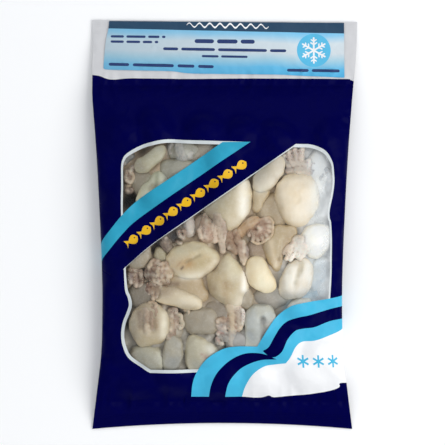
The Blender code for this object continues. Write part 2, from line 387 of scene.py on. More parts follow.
def cut_sheet(border, prints, spacing):
    """Triangles over a flat sheet that follow the outline of every print on it, each print an ink and an
    outline. The ink of each face comes with them: that of the last print it lies in, or none."""
    lines = [border] + [np.clip(line, border.min(0), border.max(0)) for _, line in prints]
    tree_points = np.concatenate(lines)
    tree = KDTree(len(tree_points))
    for number, point in enumerate(tree_points):
        tree.insert((*point, 0), number)
    tree.balance()
    xs = np.arange(border[:, 0].min(), border[:, 0].max(), spacing)
    ys = np.arange(border[:, 1].min(), border[:, 1].max(), spacing * math.sqrt(3) / 2)
    gx, gy = np.meshgrid(xs, ys)
    gx = gx + spacing / 2 * (np.arange(len(ys)) % 2)[:, None]
    knots = np.stack([gx.ravel(), gy.ravel()], 1)
    knots = knots[inside(knots, border)]
    far = [tree.find((*knot, 0))[2] > spacing * NEAR_OUTLINE for knot in knots]
    points, edges = [knots[far]], []
    for line in lines:
        first = sum(map(len, points))
        edges += [(first + k, first + (k + 1) % len(line)) for k in range(len(line))]
        points.append(line)
    flat = [Vector(point) for point in np.concatenate(points)]
    verts, _, faces, *_ = delaunay_2d_cdt(flat, edges, [], 0, SHEET_EPSILON)
    verts, faces = np.array(verts), np.array(faces)
    centres = verts[faces].mean(1)
    kept = inside(centres, border)
    faces, centres = faces[kept], centres[kept]
    numbers = np.zeros(len(faces), int)
    for number, (_, line) in enumerate(prints, 1):
        numbers[inside(centres, line)] = number
    return verts, faces, np.array(["bare"] + [ink for ink, _ in prints])[numbers]


def piece(name, verts, faces, smooth_shaded=True):
    """A new object out of points and faces, without the points that no face uses."""
    used, faces_of_used = np.unique(np.array(faces), return_inverse=True)
    mesh = bpy.data.meshes.new(name)
    mesh.from_pydata(np.array(verts)[used].tolist(), [], faces_of_used.reshape(np.shape(faces)).tolist())
    if smooth_shaded:
        mesh.shade_smooth()
    return put_down(name, mesh)


# What is printed on the flat film, in millimetres from its middle. A point past either fold at the
# side (108 mm) stands for a field that runs on round the back.
PAST_FOLD = 114
PRINT_FOOT = -143.2
TEAL_FOOT_LINE = (
    (-PAST_FOLD, -36), (-97.4, -22.3), (-82.7, -7.1), (-71.4, 3), (-46.9, 19.9), (-12.4, 43.4), (22.4, 67.4),
)
WINDOW_LINE = (
    (-82.8, -35.4), (-82.3, -53.2), (-80.1, -59.6), (-79, -65.8), (-81, -72.1), (-84.3, -80.2),
    (-85.5, -89.5), (-83.7, -99.2), (-78.2, -109.6), (-66.3, -117.5), (-60.4, -121.2), (-55, -121.8),
    (-20.3, -121.5), (30, -119), (75, -100), (92, -75), (92, -60.2), (92.9, -31.5), (91.2, -0.9), (89.6, 5.3),
    (89.3, 11.9), (91.5, 24.2), (92.4, 34.8), (91.4, 43), (89.9, 50.3), (85.5, 57.9), (80.1, 62.2),
    (70.7, 65.5), (58.2, 65.9), (22, 67.2), (-24.4, 68.7), (-43.2, 69.5), (-58, 66.9), (-67.4, 63.6),
    (-77.1, 57.9), (-80.5, 53.6), (-82.1, 47.1), (-82.8, 28.2), (-83.6, 8.6), (-83.4, -15), (-82.8, -35.4),
)
STRIPE_LINE = (
    (-92, -43), (-79.4, -33.1), (-59, -16.6), (-38.8, -2.8), (-18.9, 10.9), (10.3, 31.1), (54, 62.4),
    (62, 69),
)
STRIPE_EDGE_LINE = (
    (-83.4, -36.6), (-79.4, -33.1), (-59, -16.6), (-38.8, -2.8), (-18.9, 10.9), (10.3, 31.1), (54, 62.4),
    (57, 65),
)
WAVE_CREST_LEFT = (
    (-25, PRINT_FOOT), (-24.1, -131.1), (-20.8, -121.1), (-12.9, -109.7), (-1.2, -102.4), (9.6, -99.7),
    (29.1, -99.7),
)
WAVE_CREST_RIGHT = (
    (29.1, -99.7), (38.7, -84.2), (45.2, -75.6), (54.9, -68), (64.5, -64.5), (91.6, -60.5), (PAST_FOLD, -57),
)
CORNER_CREST_LEFT = (
    (15.8, PRINT_FOOT), (19, -132.9), (25.4, -122.6), (34.5, -116.4), (43.6, -114.7), (52.6, -113.8),
)
CORNER_CREST_RIGHT = (
    (52.6, -113.8), (56.9, -108.3), (61.3, -100.2), (67, -95.9), (78.1, -94.9), (89.9, -91.3),
    (PAST_FOLD, -83),
)
CORNER_FOOT = (
    (PAST_FOLD, -130.5), (98, -130.5), (97, -133.8), (88, -137.1), (70.9, -140.3), (52.1, -142.4),
    (41.3, -143.6), (37.5, -141.8), (30.5, -143.9), (15.8, PRINT_FOOT),
)
HEADER_FOOT = (
    (-PAST_FOLD, 124), (-99.3, 123.1), (-92.3, 120.8), (-85.8, 119.8), (-70.6, 120.9), (-25.7, 120.4),
    (19.8, 120.8), (95.6, 120.4), (101.2, 119.8), (PAST_FOLD, 116.5),
)
DARK_WAVE_LEFT = (
    (
        (-10.7, -148), (-10.7, PRINT_FOOT), (-9.1, -132.8), (-4.8, -122.7), (3.3, -113.8), (13.2, -107.5),
        (23.1, -105.1), (35, -106), (45, -110.2),
    ),
    (
        (45, -110.2), (32, -111.1), (19.4, -115.7), (11.3, -121.9), (5, -130.8), (2.3, PRINT_FOOT),
        (2.3, -148),
    ),
)
DARK_WAVE_RIGHT = (
    (
        (33.7, -103.2), (38.6, -99.8), (43.1, -92.2), (48.4, -84.3), (54.9, -78.8), (64.6, -75.6),
        (74.4, -73.8), (96.7, -68.1), (PAST_FOLD, -66.5),
    ),
    (
        (PAST_FOLD, -76.5), (96.7, -78.2), (88, -80.3), (77.8, -84), (67.9, -85.2), (61.3, -86.9),
        (54.6, -93.6), (49.6, -103.6), (43.4, -108.3), (38.2, -107.2), (33.7, -103.2),
    ),
)
STRIPE_END = ((62, 69), (26, 73), (22.4, 67.4), (0.3, 67.2))  # where the two stripes run under the border
TEAL_TOP_LINE = (
    (0.3, 67.2), (-24.7, 49.6), (-43.2, 36.9), (-68.9, 20), (-84.2, 6.3), (-97.7, -7.9), (-PAST_FOLD, -22),
)
STRIPE_EDGING, EDGING_FROM, EDGING_TO = (0.0004, -0.0008), 0.3, 1.1
WINDOW_BORDER_THIN, WINDOW_BORDER_WIDE = 0.0016, 0.0028
BORDER_WIDENS = ((0.045, 0.020), (-0.035, -0.030))  # upwards from here over this, and downwards at the left
FISH_ROW = ((-75.5, -13.2), (14.2, 47.6))
FISH_COUNT, FISH_LENGTH, FISH_WIDTH = 9, 0.0124, 0.0078
FISH_EYE, EYE_PLACE = 0.0006, (0.27, 0.1)
FREEZER_STARS = ((67, -112), (80, -112), (93, -112))
STAR_REACH, STAR_ARM = 0.0052, 0.0008


def inset(outline, width):
    """A closed outline moved inwards by a width for each of its points."""
    along = np.roll(outline, -1, 0) - np.roll(outline, 1, 0)
    (x, y), (next_x, next_y) = outline.T, np.roll(outline, -1, 0).T
    turn = np.sign(np.sum(x * next_y - next_x * y))
    inward = np.stack([-along[:, 1], along[:, 0]], 1) * turn / np.linalg.norm(along, axis=1)[:, None]
    return outline + inward * np.reshape(width, (-1, 1))


def heading(turn):
    """A step of 1 at an angle."""
    return np.array((math.cos(turn), math.sin(turn)))


def turned(outline, turn, centre):
    """An outline turned about the origin and then moved to its centre."""
    return outline @ np.array([heading(turn), heading(turn + math.pi / 2)]) + np.array(centre)


def fish(length, width):
    """Outline of a simple fish with its nose at +x."""
    t = np.linspace(0, 1, 9)
    body = np.stack([length * (0.5 - 0.78 * t), width / 2 * np.sin(math.pi * t**0.8) ** 0.9], 1)
    tail = np.array([(-0.5, 0.46), (-0.42, 0.0), (-0.5, -0.46)]) * (length, width)
    return np.concatenate([body[:-1], tail, body[:0:-1] * (1, -1)])


def star(reach, arm, arms=6):
    """Outline of a star of straight, square-ended arms."""
    points = []
    for k in range(arms):
        turn = 2 * math.pi * k / arms
        along, sideways = heading(turn) * reach, heading(turn + math.pi / 2) * arm
        points.append(arm / math.sin(math.pi / arms) * heading(turn - math.pi / arms))
        points += [along - sideways, along + sideways]
    return np.array(points)


def circle(radius, count):
    turns = np.arange(count) * 2 * math.pi / count
    return np.stack([np.cos(turns), np.sin(turns)], 1) * radius


window_outer = closed(through(*WINDOW_LINE))
upwards, downwards = (smooth((window_outer[:, 1] - start) / over) for start, over in BORDER_WIDENS)
wide = np.maximum(upwards, downwards * (window_outer[:, 0] < 0))
window_inner = inset(window_outer, WINDOW_BORDER_THIN + (WINDOW_BORDER_WIDE - WINDOW_BORDER_THIN) * wide)
teal_foot, edge_line = through(*TEAL_FOOT_LINE), through(*STRIPE_EDGE_LINE)
growing = np.linspace(EDGING_FROM, EDGING_TO, len(edge_line))[:, None]
dark_end = straight(*STRIPE_END[2::-1])
PRINTS = [
    ("border_ink", window_outer),
    ("window", window_inner),
    ("teal_ink", closed(teal_foot, straight(*STRIPE_END[2:]), through(*TEAL_TOP_LINE))),
    ("border_ink", closed(edge_line, (edge_line + growing * STRIPE_EDGING)[::-1])),
    ("dark_ink", closed(teal_foot, dark_end, through(*STRIPE_LINE[::-1]))),
    ("wave_ink", closed(*(through(*run) for run in (WAVE_CREST_LEFT, WAVE_CREST_RIGHT, CORNER_FOOT)))),
    ("dark_ink", closed(*(through(*run) for run in DARK_WAVE_LEFT))),
    ("dark_ink", closed(*(through(*run) for run in DARK_WAVE_RIGHT))),
    ("white_ink", closed(*(through(*run) for run in (CORNER_CREST_LEFT, CORNER_CREST_RIGHT, CORNER_FOOT)))),
    ("dark_ink", closed(straight((-30, PRINT_FOOT), (15.8, PRINT_FOOT)), straight((15.8, -150), (-30, -150)))),
    ("header_ink", closed(through(*HEADER_FOOT), straight((PAST_FOLD, 180), (-PAST_FOLD, 180)))),
]
row_start, row_end = np.array(FISH_ROW) / 1000
row_turn = math.atan2(*(row_end - row_start)[::-1])
for share in np.linspace(0, 1, FISH_COUNT):
    place = row_start + (row_end - row_start) * share
    PRINTS.append(("yellow_ink", turned(fish(FISH_LENGTH, FISH_WIDTH), row_turn, place)))
    eye = turned(np.multiply(EYE_PLACE, (FISH_LENGTH, FISH_WIDTH)), row_turn, place)
    PRINTS.append(("dark_ink", circle(FISH_EYE, 8) + eye))
for place in FREEZER_STARS:
    PRINTS.append(("wave_ink", turned(star(STAR_REACH, STAR_ARM), math.pi / 2, np.array(place) / 1000)))

INKS = {  # each ink's colour, as 8-bit sRGB, how rough it leaves the film, and how glossy
    "dark_ink": ((0, 0, 64), 0.34, 0.02),
    "teal_ink": ((44, 156, 188), 0.40, 0.12),
    "wave_ink": ((66, 180, 218), 0.38, 0.16),
    "white_ink": ((240, 240, 241), 0.38, 0.3),
    "border_ink": ((206, 212, 213), 0.36, 0.3),
    "header_ink": ((204, 204, 206), 0.40, 0.3),
    "yellow_ink": ((232, 180, 16), 0.36, 0.3),
}
WORN_SHARE = 0.10  # how far the creases lighten an ink towards white
CREASE_DEPTH, CREASE_SHINE = 0.00007, 0.07


def colour(red, green, blue):
    """An 8-bit sRGB colour as Blender's linear one."""
    share = np.array((red, green, blue)) / 255
    linear = np.where(share <= 0.04045, share / 12.92, ((share + 0.055) / 1.055) ** 2.4)
    return (*linear.tolist(), 1.0)


def node(tree, kind, feeds=None, **settings):
    """A new node, with its settings and what feeds its sockets: a value or another node's output."""
    made = tree.nodes.new(kind)
    for key, value in settings.items():
        setattr(made, key, value)
    for key, source in (feeds or {}).items():
        if isinstance(source, bpy.types.NodeSocket):
            tree.links.new(source, made.inputs[key])
        else:
            made.inputs[key].default_value = source
    return made


def out(tree, kind, feeds=None, output=0, **settings):
    """An output of a new node, the first where none is named."""
    return node(tree, kind, feeds, **settings).outputs[output]


def noise(tree, scale, detail, roughness=0.5):
    """Soft noise through a piece, in waves of about a metre over its scale."""
    place = out(tree, "ShaderNodeTexCoord", output="Object")
    feeds = {"Vector": place, "Scale": scale, "Detail": detail, "Roughness": roughness}
    return out(tree, "ShaderNodeTexNoise", feeds)


def band(tree, value, start, stop, low=0.0, high=1.0, kind="SMOOTHSTEP"):
    """Runs from low to high as a value goes from start to stop."""
    feeds = {"Value": value, "From Min": start, "From Max": stop, "To Min": low, "To Max": high}
    return out(tree, "ShaderNodeMapRange", feeds, interpolation_type=kind)


def times(tree, first, second, more=0.0):
    """The product of two values, with a third added."""
    return out(tree, "ShaderNodeMath", {0: first, 1: second, 2: more}, operation="MULTIPLY_ADD")


def mixed(tree, factor, first, second, blend="MIX"):
    feeds = {0: factor, 6: first, 7: second}
    return out(tree, "ShaderNodeMix", feeds, 2, data_type="RGBA", blend_type=blend)


def bumps(tree, height, depth):
    """Normals of a surface that is raised by a height, this deep in all."""
    return out(tree, "ShaderNodeBump", {"Height": height, "Distance": depth})


def feed(tree, target, sources):
    """Links outputs to a node's named sockets."""
    for socket, source in sources.items():
        tree.links.new(source, target.inputs[socket])


def new_group(name, kind, inputs, outputs):
    """An empty node group with its two end nodes. A socket is a name, a kind and perhaps a value."""
    group = bpy.data.node_groups.new(name, kind + "NodeTree")
    for way, sockets in (("INPUT", inputs), ("OUTPUT", outputs)):
        for label, socket_kind, *value in sockets:
            socket = group.interface.new_socket(label, in_out=way, socket_type="NodeSocket" + socket_kind)
            if value:
                socket.default_value = value[0]
    return group, group.nodes.new("NodeGroupInput").outputs, group.nodes.new("NodeGroupOutput")


def creased_film_group():
    """Fine creases of thin film: they bend the light, and their ridges thin the ink a little."""
    group, given, end = new_group(
        "creased film",
        "Shader",
        (("Ink", "Color"), ("Worn Ink", "Color"), ("Roughness", "Float", 0.35), ("Depth", "Float", 0.0002)),
        (("Color", "Color"), ("Roughness", "Float"), ("Normal", "Vector")),
    )
    place = out(group, "ShaderNodeTexCoord", output="Object")
    drift = out(group, "ShaderNodeTexNoise", {"Vector": place, "Scale": 38.0, "Detail": 1.0}, "Color")
    bent = out(group, "ShaderNodeVectorMath", {0: drift, 1: (0.012,) * 3, 2: place}, operation="MULTIPLY_ADD")
    cracked = out(group, "ShaderNodeTexVoronoi", {"Vector": bent, "Scale": 62.0}, feature="DISTANCE_TO_EDGE")
    ridge = band(group, cracked, 0.0, 0.16, 1.0, 0.0)
    height = times(group, ridge, 1.0, noise(group, 120.0, 3.0))
    patches = noise(group, 24.0, 4.0)
    looks = {
        "Color": mixed(group, times(group, ridge, patches), given["Ink"], given["Worn Ink"]),
        "Roughness": times(group, patches, 0.15, given["Roughness"]),
        "Normal": bumps(group, height, given["Depth"]),
    }
    feed(group, end, looks)
    return group


CREASED_FILM = creased_film_group()


def new_material(name, even):
    """A new material, its tree and its shader, with what is the same all over it set on the shader."""
    made = bpy.data.materials.new(name)
    made.use_nodes = True
    shader = made.node_tree.nodes["Principled BSDF"]
    for socket, value in even.items():
        shader.inputs[socket].default_value = value
    return made, made.node_tree, shader


def creased(tree, shader, feeds):
    """Feeds a shader from the creased film group."""
    film = node(tree, "ShaderNodeGroup", feeds, node_tree=CREASED_FILM).outputs
    feed(tree, shader, {"Base Color": film["Color"], "Roughness": film["Roughness"], "Normal": film["Normal"]})


def ink_material(name, ink, roughness, gloss):
    made, tree, shader = new_material(name, {"Specular IOR Level": gloss})
    shown = colour(*ink)
    worn = (*(c + (1 - c) * WORN_SHARE * c for c in shown[:3]), 1.0)
    feeds = {"Ink": shown, "Worn Ink": worn, "Roughness": roughness - CREASE_SHINE, "Depth": CREASE_DEPTH}
    creased(tree, shader, feeds)
    return made


ink_materials = {ink: ink_material(ink, *looks) for ink, looks in INKS.items()}


def dressed(obj, node_name, slot, *finishes):
    """Gives a piece its finishes, sets it on the root body, and hides the solid part that it stands for."""
    for finish in finishes:
        obj.data.materials.append(finish)
    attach(obj, "root")
    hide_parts(node_name)


def inked(obj, inks, node_name, slot, finishes):
    """Dresses a cut sheet in several inks, one named for each of its faces."""
    places = list(finishes)
    obj.data.polygons.foreach_set("material_index", [places.index(ink) for ink in inks])
    dressed(obj, node_name, slot, *finishes.values())


# The sheet is cut flat, and each of its points is then laid where the film comes to lie.
fold_rows = np.arange(-HALF_LENGTH, HALF_LENGTH, OUTLINE_SPACING)
end_columns = np.arange(-HALF_ROUND, HALF_ROUND, OUTLINE_SPACING)
half_border = [
    np.stack([end_columns, np.full_like(end_columns, -HALF_LENGTH)], 1),
    np.stack([np.full_like(fold_rows, HALF_ROUND), fold_rows], 1),
]
film_border = np.concatenate([*half_border, *(-side for side in half_border)])
flat, film_faces, film_inks = cut_sheet(film_border, PRINTS, SHEET_SPACING)
film_inks[film_inks == "bare"] = "dark_ink"
film_x, film_y = bag_plan(rolled(flat[:, 0]), flat[:, 1])
film_points = np.stack([film_x, film_y, film_height(film_x, film_y, flat[:, 1])], 1)
printed = film_inks != "window"
printed_film = piece("printed_film", film_points, film_faces[printed])
inked(printed_film, film_inks[printed], "bag", "printed_film", ink_materials)

# Where the arms lie.
# Each cuttlefish ends in a head with short thick arms, frozen into a curled heap against the film. They
# come before the mantles, because they press into them.
HEAPS = {  # each limb: start, middle, end, width at both ends, depth under the film, in mm, and tone
    "folded_left": (
        (-57.8, -38.8, -54.4, -39.1, -50.1, -38.6, 14.1, 13.3, 1.5, "dark"),
        (-35.1, -34, -40.9, -34.7, -46.8, -35.9, 12.4, 11.6, 2, 0.6, "cream"),
        (-63, -40.3, -63, -40.8, -62.3, -41.7, 6.6, 6.6, 2, "dark"),
        (-59.2, -30.3, -57, -29.5, -53.8, -30.3, 4, 3.7, 1.3, "umber"),
        (-59.8, -33.3, -60.7, -33.5, -61.1, -34.4, 4.5, 4.1, 0.5, "cream"),
        (-56.3, -32.5, -54.4, -32, -52.4, -32.8, 3.7, 3.3, 0.5, "pink"),
        (-50.8, -31.9, -50.3, -34.2, -51, -36.4, 4, 3.5, 0.2, "tan"),
        (-47.7, -31.5, -46.8, -33.8, -47.8, -36.1, 3.7, 3.3, 0.5, "brown"),
        (-57.7, -35.9, -55.7, -35.1, -53.6, -35.7, 3.5, 3.2, 0.5, "brown"),
        (-59.7, -38.2, -59.4, -40, -57.2, -41.3, 4, 3.7, 0.4, "brown"),
        (-54.4, -38.2, -53.7, -40, -55.3, -41.6, 3.7, 3.3, 0.1, "cream"),
        (-50.8, -38.8, -50, -40.2, -51.1, -42.1, 4, 3.7, 0, "pink"),
        (-47.2, -39.1, -45.9, -40.6, -46.3, -42.6, 4.3, 4.1, 0.2, "cream"),
        (-44.4, -38.1, -43.4, -40, -44.2, -42.1, 4.1, 3.8, 0.6, "cream"),
        (-57.2, -44.3, -56.9, -46.4, -55, -47, 3.3, 3.5, 0.1, "cream"),
        (-53.8, -45.1, -53.5, -47.6, -51.8, -48.2, 3.3, 3.5, 0, "pale"),
        (-50.2, -45.3, -49.4, -47.6, -48.4, -47.4, 3.3, 3.3, 0.1, "cream"),
        (-46.8, -45, -45.6, -46.4, -46.4, -47.5, 3.3, 3.3, 0.3, "pale"),
        (-60.4, -44.5, -59.3, -46.2, -57.5, -46.4, 3.8, 3.5, 0.9, "brown"),
        (-63.7, -37.9, -64.2, -39.5, -63.1, -41.4, 4.1, 3.8, 1.6, "dark"),
    ),
    "edge": (
        (-75.9, -41.4, -73.4, -43.9, -70.8, -47.2, 12.4, 10.8, 2, "brown"),
        (-77.2, -36.8, -75.4, -36.1, -72.9, -36.7, 5.3, 5, 1.3, "umber"),
        (-69.9, -38, -68.3, -39.1, -68.3, -41.2, 5.1, 4.8, 1, "brown"),
        (-77.3, -41.3, -77.8, -43.8, -77.1, -46.8, 5.3, 5, 1, "violet"),
        (-73.1, -41.2, -73.2, -44.7, -72.3, -49.9, 5.3, 5.6, 1.2, 0.4, "pink"),
        (-68.5, -44.5, -68, -47.2, -69.1, -50.2, 4.8, 4.5, 1.1, "brown"),
    ),
    "long_left": (
        (-61.2, -52.2, -58.6, -52.7, -55.2, -53.9, 10, 9.1, 1.7, "brown"),
        (-44.4, -54.9, -49.3, -54.3, -55.2, -53.9, 11.6, 10, 2.2, 0.9, "tan"),
        (-62.5, -49.6, -60.4, -48.6, -57, -49, 4.6, 4.3, 0.9, "brown"),
        (-53.9, -49.7, -52.1, -50.2, -51.6, -51.7, 4.3, 4, 0.7, "umber"),
        (-62.2, -52.9, -61, -54.5, -59.4, -56, 4.1, 3.8, 0.4, "pink"),
        (-58.2, -53, -57.9, -56.4, -58.2, -60.4, 4.1, 4.3, 0, "tan"),
        (-55.1, -53.8, -54.5, -56.2, -55.4, -59.2, 4, 3.7, 0.3, "umber"),
        (-64.2, -53.2, -63.9, -55.1, -62, -57.4, 4, 3.7, 1.2, "dark"),
    ),
    "beside_open": (
        (-43.1, -74.1, -42.5, -80.8, -43.3, -89.2, 11.6, 7.5, 1.4, "umber"),
        (-44.8, -69.7, -43.4, -71.3, -43.3, -74.5, 4.5, 4.3, 1.2, "brown"),
        (-41.3, -68.9, -39.9, -69.3, -39.9, -71.4, 3.7, 3.5, 0.5, "pink"),
        (-37.8, -73.6, -36.2, -74.1, -35.4, -76.5, 4, 3.7, 0.5, "cream"),
        (-34.9, -79.2, -34.6, -82, -36.3, -84.5, 4.3, 4.1, 0.2, "cream"),
        (-38.8, -76.5, -39.5, -79.5, -38.6, -83, 3.7, 3.3, 0.9, "brown"),
        (-44, -78.4, -43.3, -81.7, -44.1, -85.5, 4.6, 4.1, 1, "tan"),
        (-32.1, -69.4, -29.9, -70.3, -29.1, -72.5, 4, 3.7, 1.2, "tan"),
        (-46.5, -90.4, -45.9, -92.6, -44.1, -93.5, 3.8, 3.5, 1.6, "brown"),
    ),
    "open_left": (
        (-64.1, -69.5, -63.4, -72.4, -63.6, -77.4, 6.5, 6, 0.9, "pale"),
        (-63.4, -82.4, -63.4, -85.2, -63.9, -88.9, 6, 7.1, 1.1, 1.8, "cream"),
        (-60, -67.6, -59.7, -71.5, -59.7, -76.8, 3.8, 3.5, 2.1, "brown"),
        (-56.5, -68.9, -55.6, -72.4, -55.5, -77.3, 4.8, 4.5, 1.9, "umber"),
        (-55.7, -78, -55.1, -80.9, -56.6, -84.7, 4.3, 4, 2.2, "brown"),
        (-68.8, -69.8, -70, -74.5, -69.6, -80.1, 4.1, 3.8, 2.3, "brown"),
        (-59.3, -78.5, -59, -81.8, -60.1, -85.8, 3.8, 3.5, 2.2, "umber"),
        (-61.3, -64.1, -58.2, -63.9, -55.4, -66, 3.8, 3.5, 1.6, "tan"),
        (-66.7, -67.5, -67.2, -69.8, -66.9, -72.1, 3.8, 3.7, 2.2, "pink"),
    ),
    "lobes": (
        (-30.8, 2.9, -29.6, -1.2, -29.1, -5.3, 12.4, 10.8, 1.2, 0.3, "white"),
        (-37.3, -5.3, -37.3, -6.9, -35.9, -9.9, 4.1, 4, 0.6, "violet"),
        (-33.7, -5.1, -32.4, -7.4, -33.9, -11.2, 3.8, 3.7, 0.7, "pink"),
        (-38.5, -14, -37.3, -15.1, -35.6, -15.4, 4.1, 3.8, 2, "dark"),
        (-48, -14.9, -47.7, -16.5, -46.1, -19, 10, 8.7, 1.5, "dun"),
        (-51.6, -10.7, -50.2, -10.2, -48.1, -10.8, 4.1, 4.1, 2, "violet"),
        (-43, -1.2, -41.3, -1.5, -40, -1, 4.1, 4.1, 2.4, "dark"),
    ),
    "broad_head": (
        (-15.2, 2.1, -15, -4.5, -15.1, -9.1, 11.6, 13.7, 1.2, 0.3, "pink"),
        (-19.1, -3.4, -19.9, -6.5, -18.6, -10.3, 4.6, 4.5, 0.35, "pale"),
        (-16.1, -2.3, -16.3, -5.3, -15.7, -9.2, 3.8, 3.7, 0.3, "lilac"),
        (-4.7, 8.5, -3.7, -4.5, -1.5, -21.3, 12.4, 5.3, 0.9, -0.2, "pale"),
        (-9.1, -2, -8.8, -7, -8.6, -12.7, 7.5, 6.6, 0.7, "pale"),
        (-1.4, 1.5, -0.4, -4.5, -0.2, -11.4, 4.6, 4.3, 0.35, "lilac"),
        (-15.6, 8, -16, 5.5, -14.6, 3, 5, 4.6, 1.5, "dark"),
    ),
    "rosette": (
        (21.6, 0.2, 23, 1.5, 24.7, 2.3, 10.8, 10, 0.2, "tan"),
        (12.3, -6.6, 15.8, -3.8, 19.2, -1.4, 10, 10, 1.1, "tan"),
        (27.3, -3.7, 28.9, -4.5, 30.4, -6.1, 14.1, 13.3, 2.5, "brown"),
        (28.8, 2, 31.2, 3.9, 33.7, 4.3, 3.7, 3.5, 0.7, "pink"),
        (29.5, 0.3, 33.2, 2.2, 36.2, 2.2, 4, 4, 0.3, "brown"),
        (30, -1.7, 33.7, -1.4, 36.8, -1.8, 4, 4, 0.1, "brown"),
        (29.7, -3.6, 33.3, -4.1, 36.3, -5.6, 4, 4, 0.2, "pink"),
        (28.7, -5.1, 32, -6.9, 34.2, -9.2, 4, 4, 0.2, "brown"),
        (27.6, -6.2, 29.6, -8.8, 30.8, -11.4, 4, 4, 0.2, "brown"),
        (26, -6.9, 26.7, -9.7, 27.1, -12.4, 4, 4, 0.2, "brown"),
        (24, -6.5, 23.9, -9.1, 23.2, -11.7, 4, 3.8, 0.4, "pink"),
        (21.7, -5.1, 20.3, -6.5, 20.1, -8.8, 3.8, 3.7, 0.9, "brown"),
        (26.8, -2, 27.7, -2.5, 28.5, -3.5, 4.1, 3.8, 0.1, "pink"),
        (34.1, 5.9, 38.4, 3.8, 39.1, -2.2, 2.3, 2.3, 0.5, 0.1, "cream"),
        (39, -3.5, 38, -8.7, 34.3, -12.1, 2.3, 2.3, 0.1, "cream"),
        (33.2, -12.9, 27.9, -15.6, 22, -13.3, 2.3, 2.3, 0.1, 0.4, "cream"),
    ),
    "arms_middle": (
        (3.6, -8.2, 4.9, -15.1, 8.8, -21.6, 9.1, 6.6, 0.8, "umber"),
        (9, -6.1, 10.4, -9.1, 10.2, -13.6, 7, 6.1, 0.5, "umber"),
        (12, -15.2, 13.7, -20.7, 14.9, -28.3, 6.1, 4.5, 0.3, "pink"),
        (14.9, -14.3, 15.2, -17.5, 15.4, -21.5, 4.1, 4, -0.1, "pale"),
        (12, -19.1, 12.9, -24, 14.4, -29.4, 4, 3.5, 0.1, "pink"),
        (17.3, -18.9, 17.9, -23.6, 16.7, -29, 3.7, 3.3, 0.4, "violet"),
        (14.7, -25.5, 15.5, -28.5, 15.5, -31.8, 3.8, 3.5, 0, "cream"),
        (0.9, -12.3, 1.6, -15.9, 3.5, -18.9, 4.5, 4.1, 1.4, "brown"),
    ),
    "bright_right": (
        (56.9, -18.4, 61.2, -18.1, 65.9, -17.6, 14.1, 14.1, 0.5, 0.3, "white"),
        (63.2, -10.8, 59.5, -10.3, 56.2, -12.2, 4.3, 4, 0.6, "pale"),
        (62.5, -13.6, 59.5, -13.9, 56.9, -17, 4.3, 4, 0.2, "white"),
        (63.1, -18.1, 60.2, -19, 58, -22.2, 4.6, 4.3, 0.1, "white"),
        (56.8, -15.8, 53.4, -17.8, 51.2, -21.4, 4, 3.7, 0.6, "pale"),
        (63.6, -22.3, 61.4, -23.5, 59, -26, 4.6, 4.3, 0.2, "white"),
        (54.6, -21.1, 52.1, -24, 49.9, -27.8, 4.1, 3.7, 0.6, "pale"),
        (58.2, -23.1, 55.5, -25.7, 53.4, -28.7, 4.1, 3.8, 0.4, "white"),
        (51.9, -17.6, 49.1, -19.8, 47.7, -23.7, 3.8, 3.5, 1, "lilac"),
        (63.9, -25.3, 62, -26.3, 61.4, -28, 4, 3.8, 0.4, "white"),
    ),
    "plump_head": (
        (53.5, 48.2, 58.5, 48.4, 64.4, 47.3, 12.4, 11.6, 0.9, "pale"),
        (59.6, 42.7, 62.9, 42.9, 66.3, 41.9, 10, 10, 0.6, "pale"),
        (51.3, 43.6, 52.8, 44, 54.5, 43.9, 5.3, 5, 0.7, "violet"),
        (58.3, 54.4, 57.9, 58.3, 56.7, 61.7, 5.6, 5.3, 0.5, "lilac"),
        (62.7, 54.4, 62.8, 58.3, 63.2, 61.8, 5.3, 5, 0.2, "pale"),
        (52.9, 54.1, 51.9, 57.3, 51.8, 59.5, 5.3, 5, 0.7, "lilac"),
        (48.7, 51.2, 47.3, 53.8, 48.3, 56.3, 4.8, 4.5, 1.2, "grey"),
        (67.5, 45, 68.5, 49.1, 68.6, 52, 5.3, 5, 0.2, "white"),
        (71.4, 42.5, 73.4, 46.6, 72.9, 49.6, 6, 5.5, 1, "glass"),
        (77.5, 37.7, 79.9, 43.2, 77.8, 48.7, 6.8, 6.1, 1.5, "glass"),
        (84, 29.5, 85.2, 38.1, 82.5, 45.3, 6.8, 6.1, 1.8, "glass"),
        (50.9, 48.9, 51.6, 47.4, 52.9, 47.7, 3, 2.8, 0.1, "grey"),
    ),
    "corner_left": (
        (-74.4, 47, -75.9, 45.8, -77, 43.7, 4.5, 4.1, 1.2, "pink"),
        (-76.5, 41.8, -74.5, 38.3, -77.2, 34.3, 3.5, 3.3, 1, "tan"),
        (-80.1, 43.5, -81.1, 39.9, -80.5, 36.3, 4.5, 4.1, 1.3, "umber"),
        (-77.7, 39.8, -78.1, 37.1, -78.8, 34.9, 3.3, 3.3, 1.8, "brown"),
        (-80.3, 27.8, -78.3, 27.5, -76.4, 28.3, 6.1, 5.6, 2.4, "brown"),
        (-82.9, 51.8, -80.4, 54.5, -76.8, 56.5, 7.5, 6.6, 2.2, "grey"),
    ),
    "corner_middle": (
        (-43.3, 65.2, -43.7, 61.2, -42.3, 57.2, 7.5, 7.1, 1.6, "grey"),
        (-36.7, 66.9, -36.2, 60.7, -35, 55.5, 11.6, 10.5, 1, 0.5, "ash"),
        (-29.1, 66, -27.9, 61.5, -29.6, 56.6, 8.6, 8, 1, "ash"),
    ),
    "middle_head": (
        (4.1, -65.5, 5.5, -70.2, 7.3, -75.3, 10, 9.6, 0.3, "cream"),
        (5.8, -74.4, 6.4, -79.4, 6.2, -86, 6.5, 4.5, 0, "cream"),
        (0.7, -71.1, 0.2, -73.3, 1.3, -76.9, 6.6, 5.3, 0.8, "umber"),
        (11.1, -71, 12, -76.2, 12.5, -82, 6.5, 5.6, 0.2, "pale"),
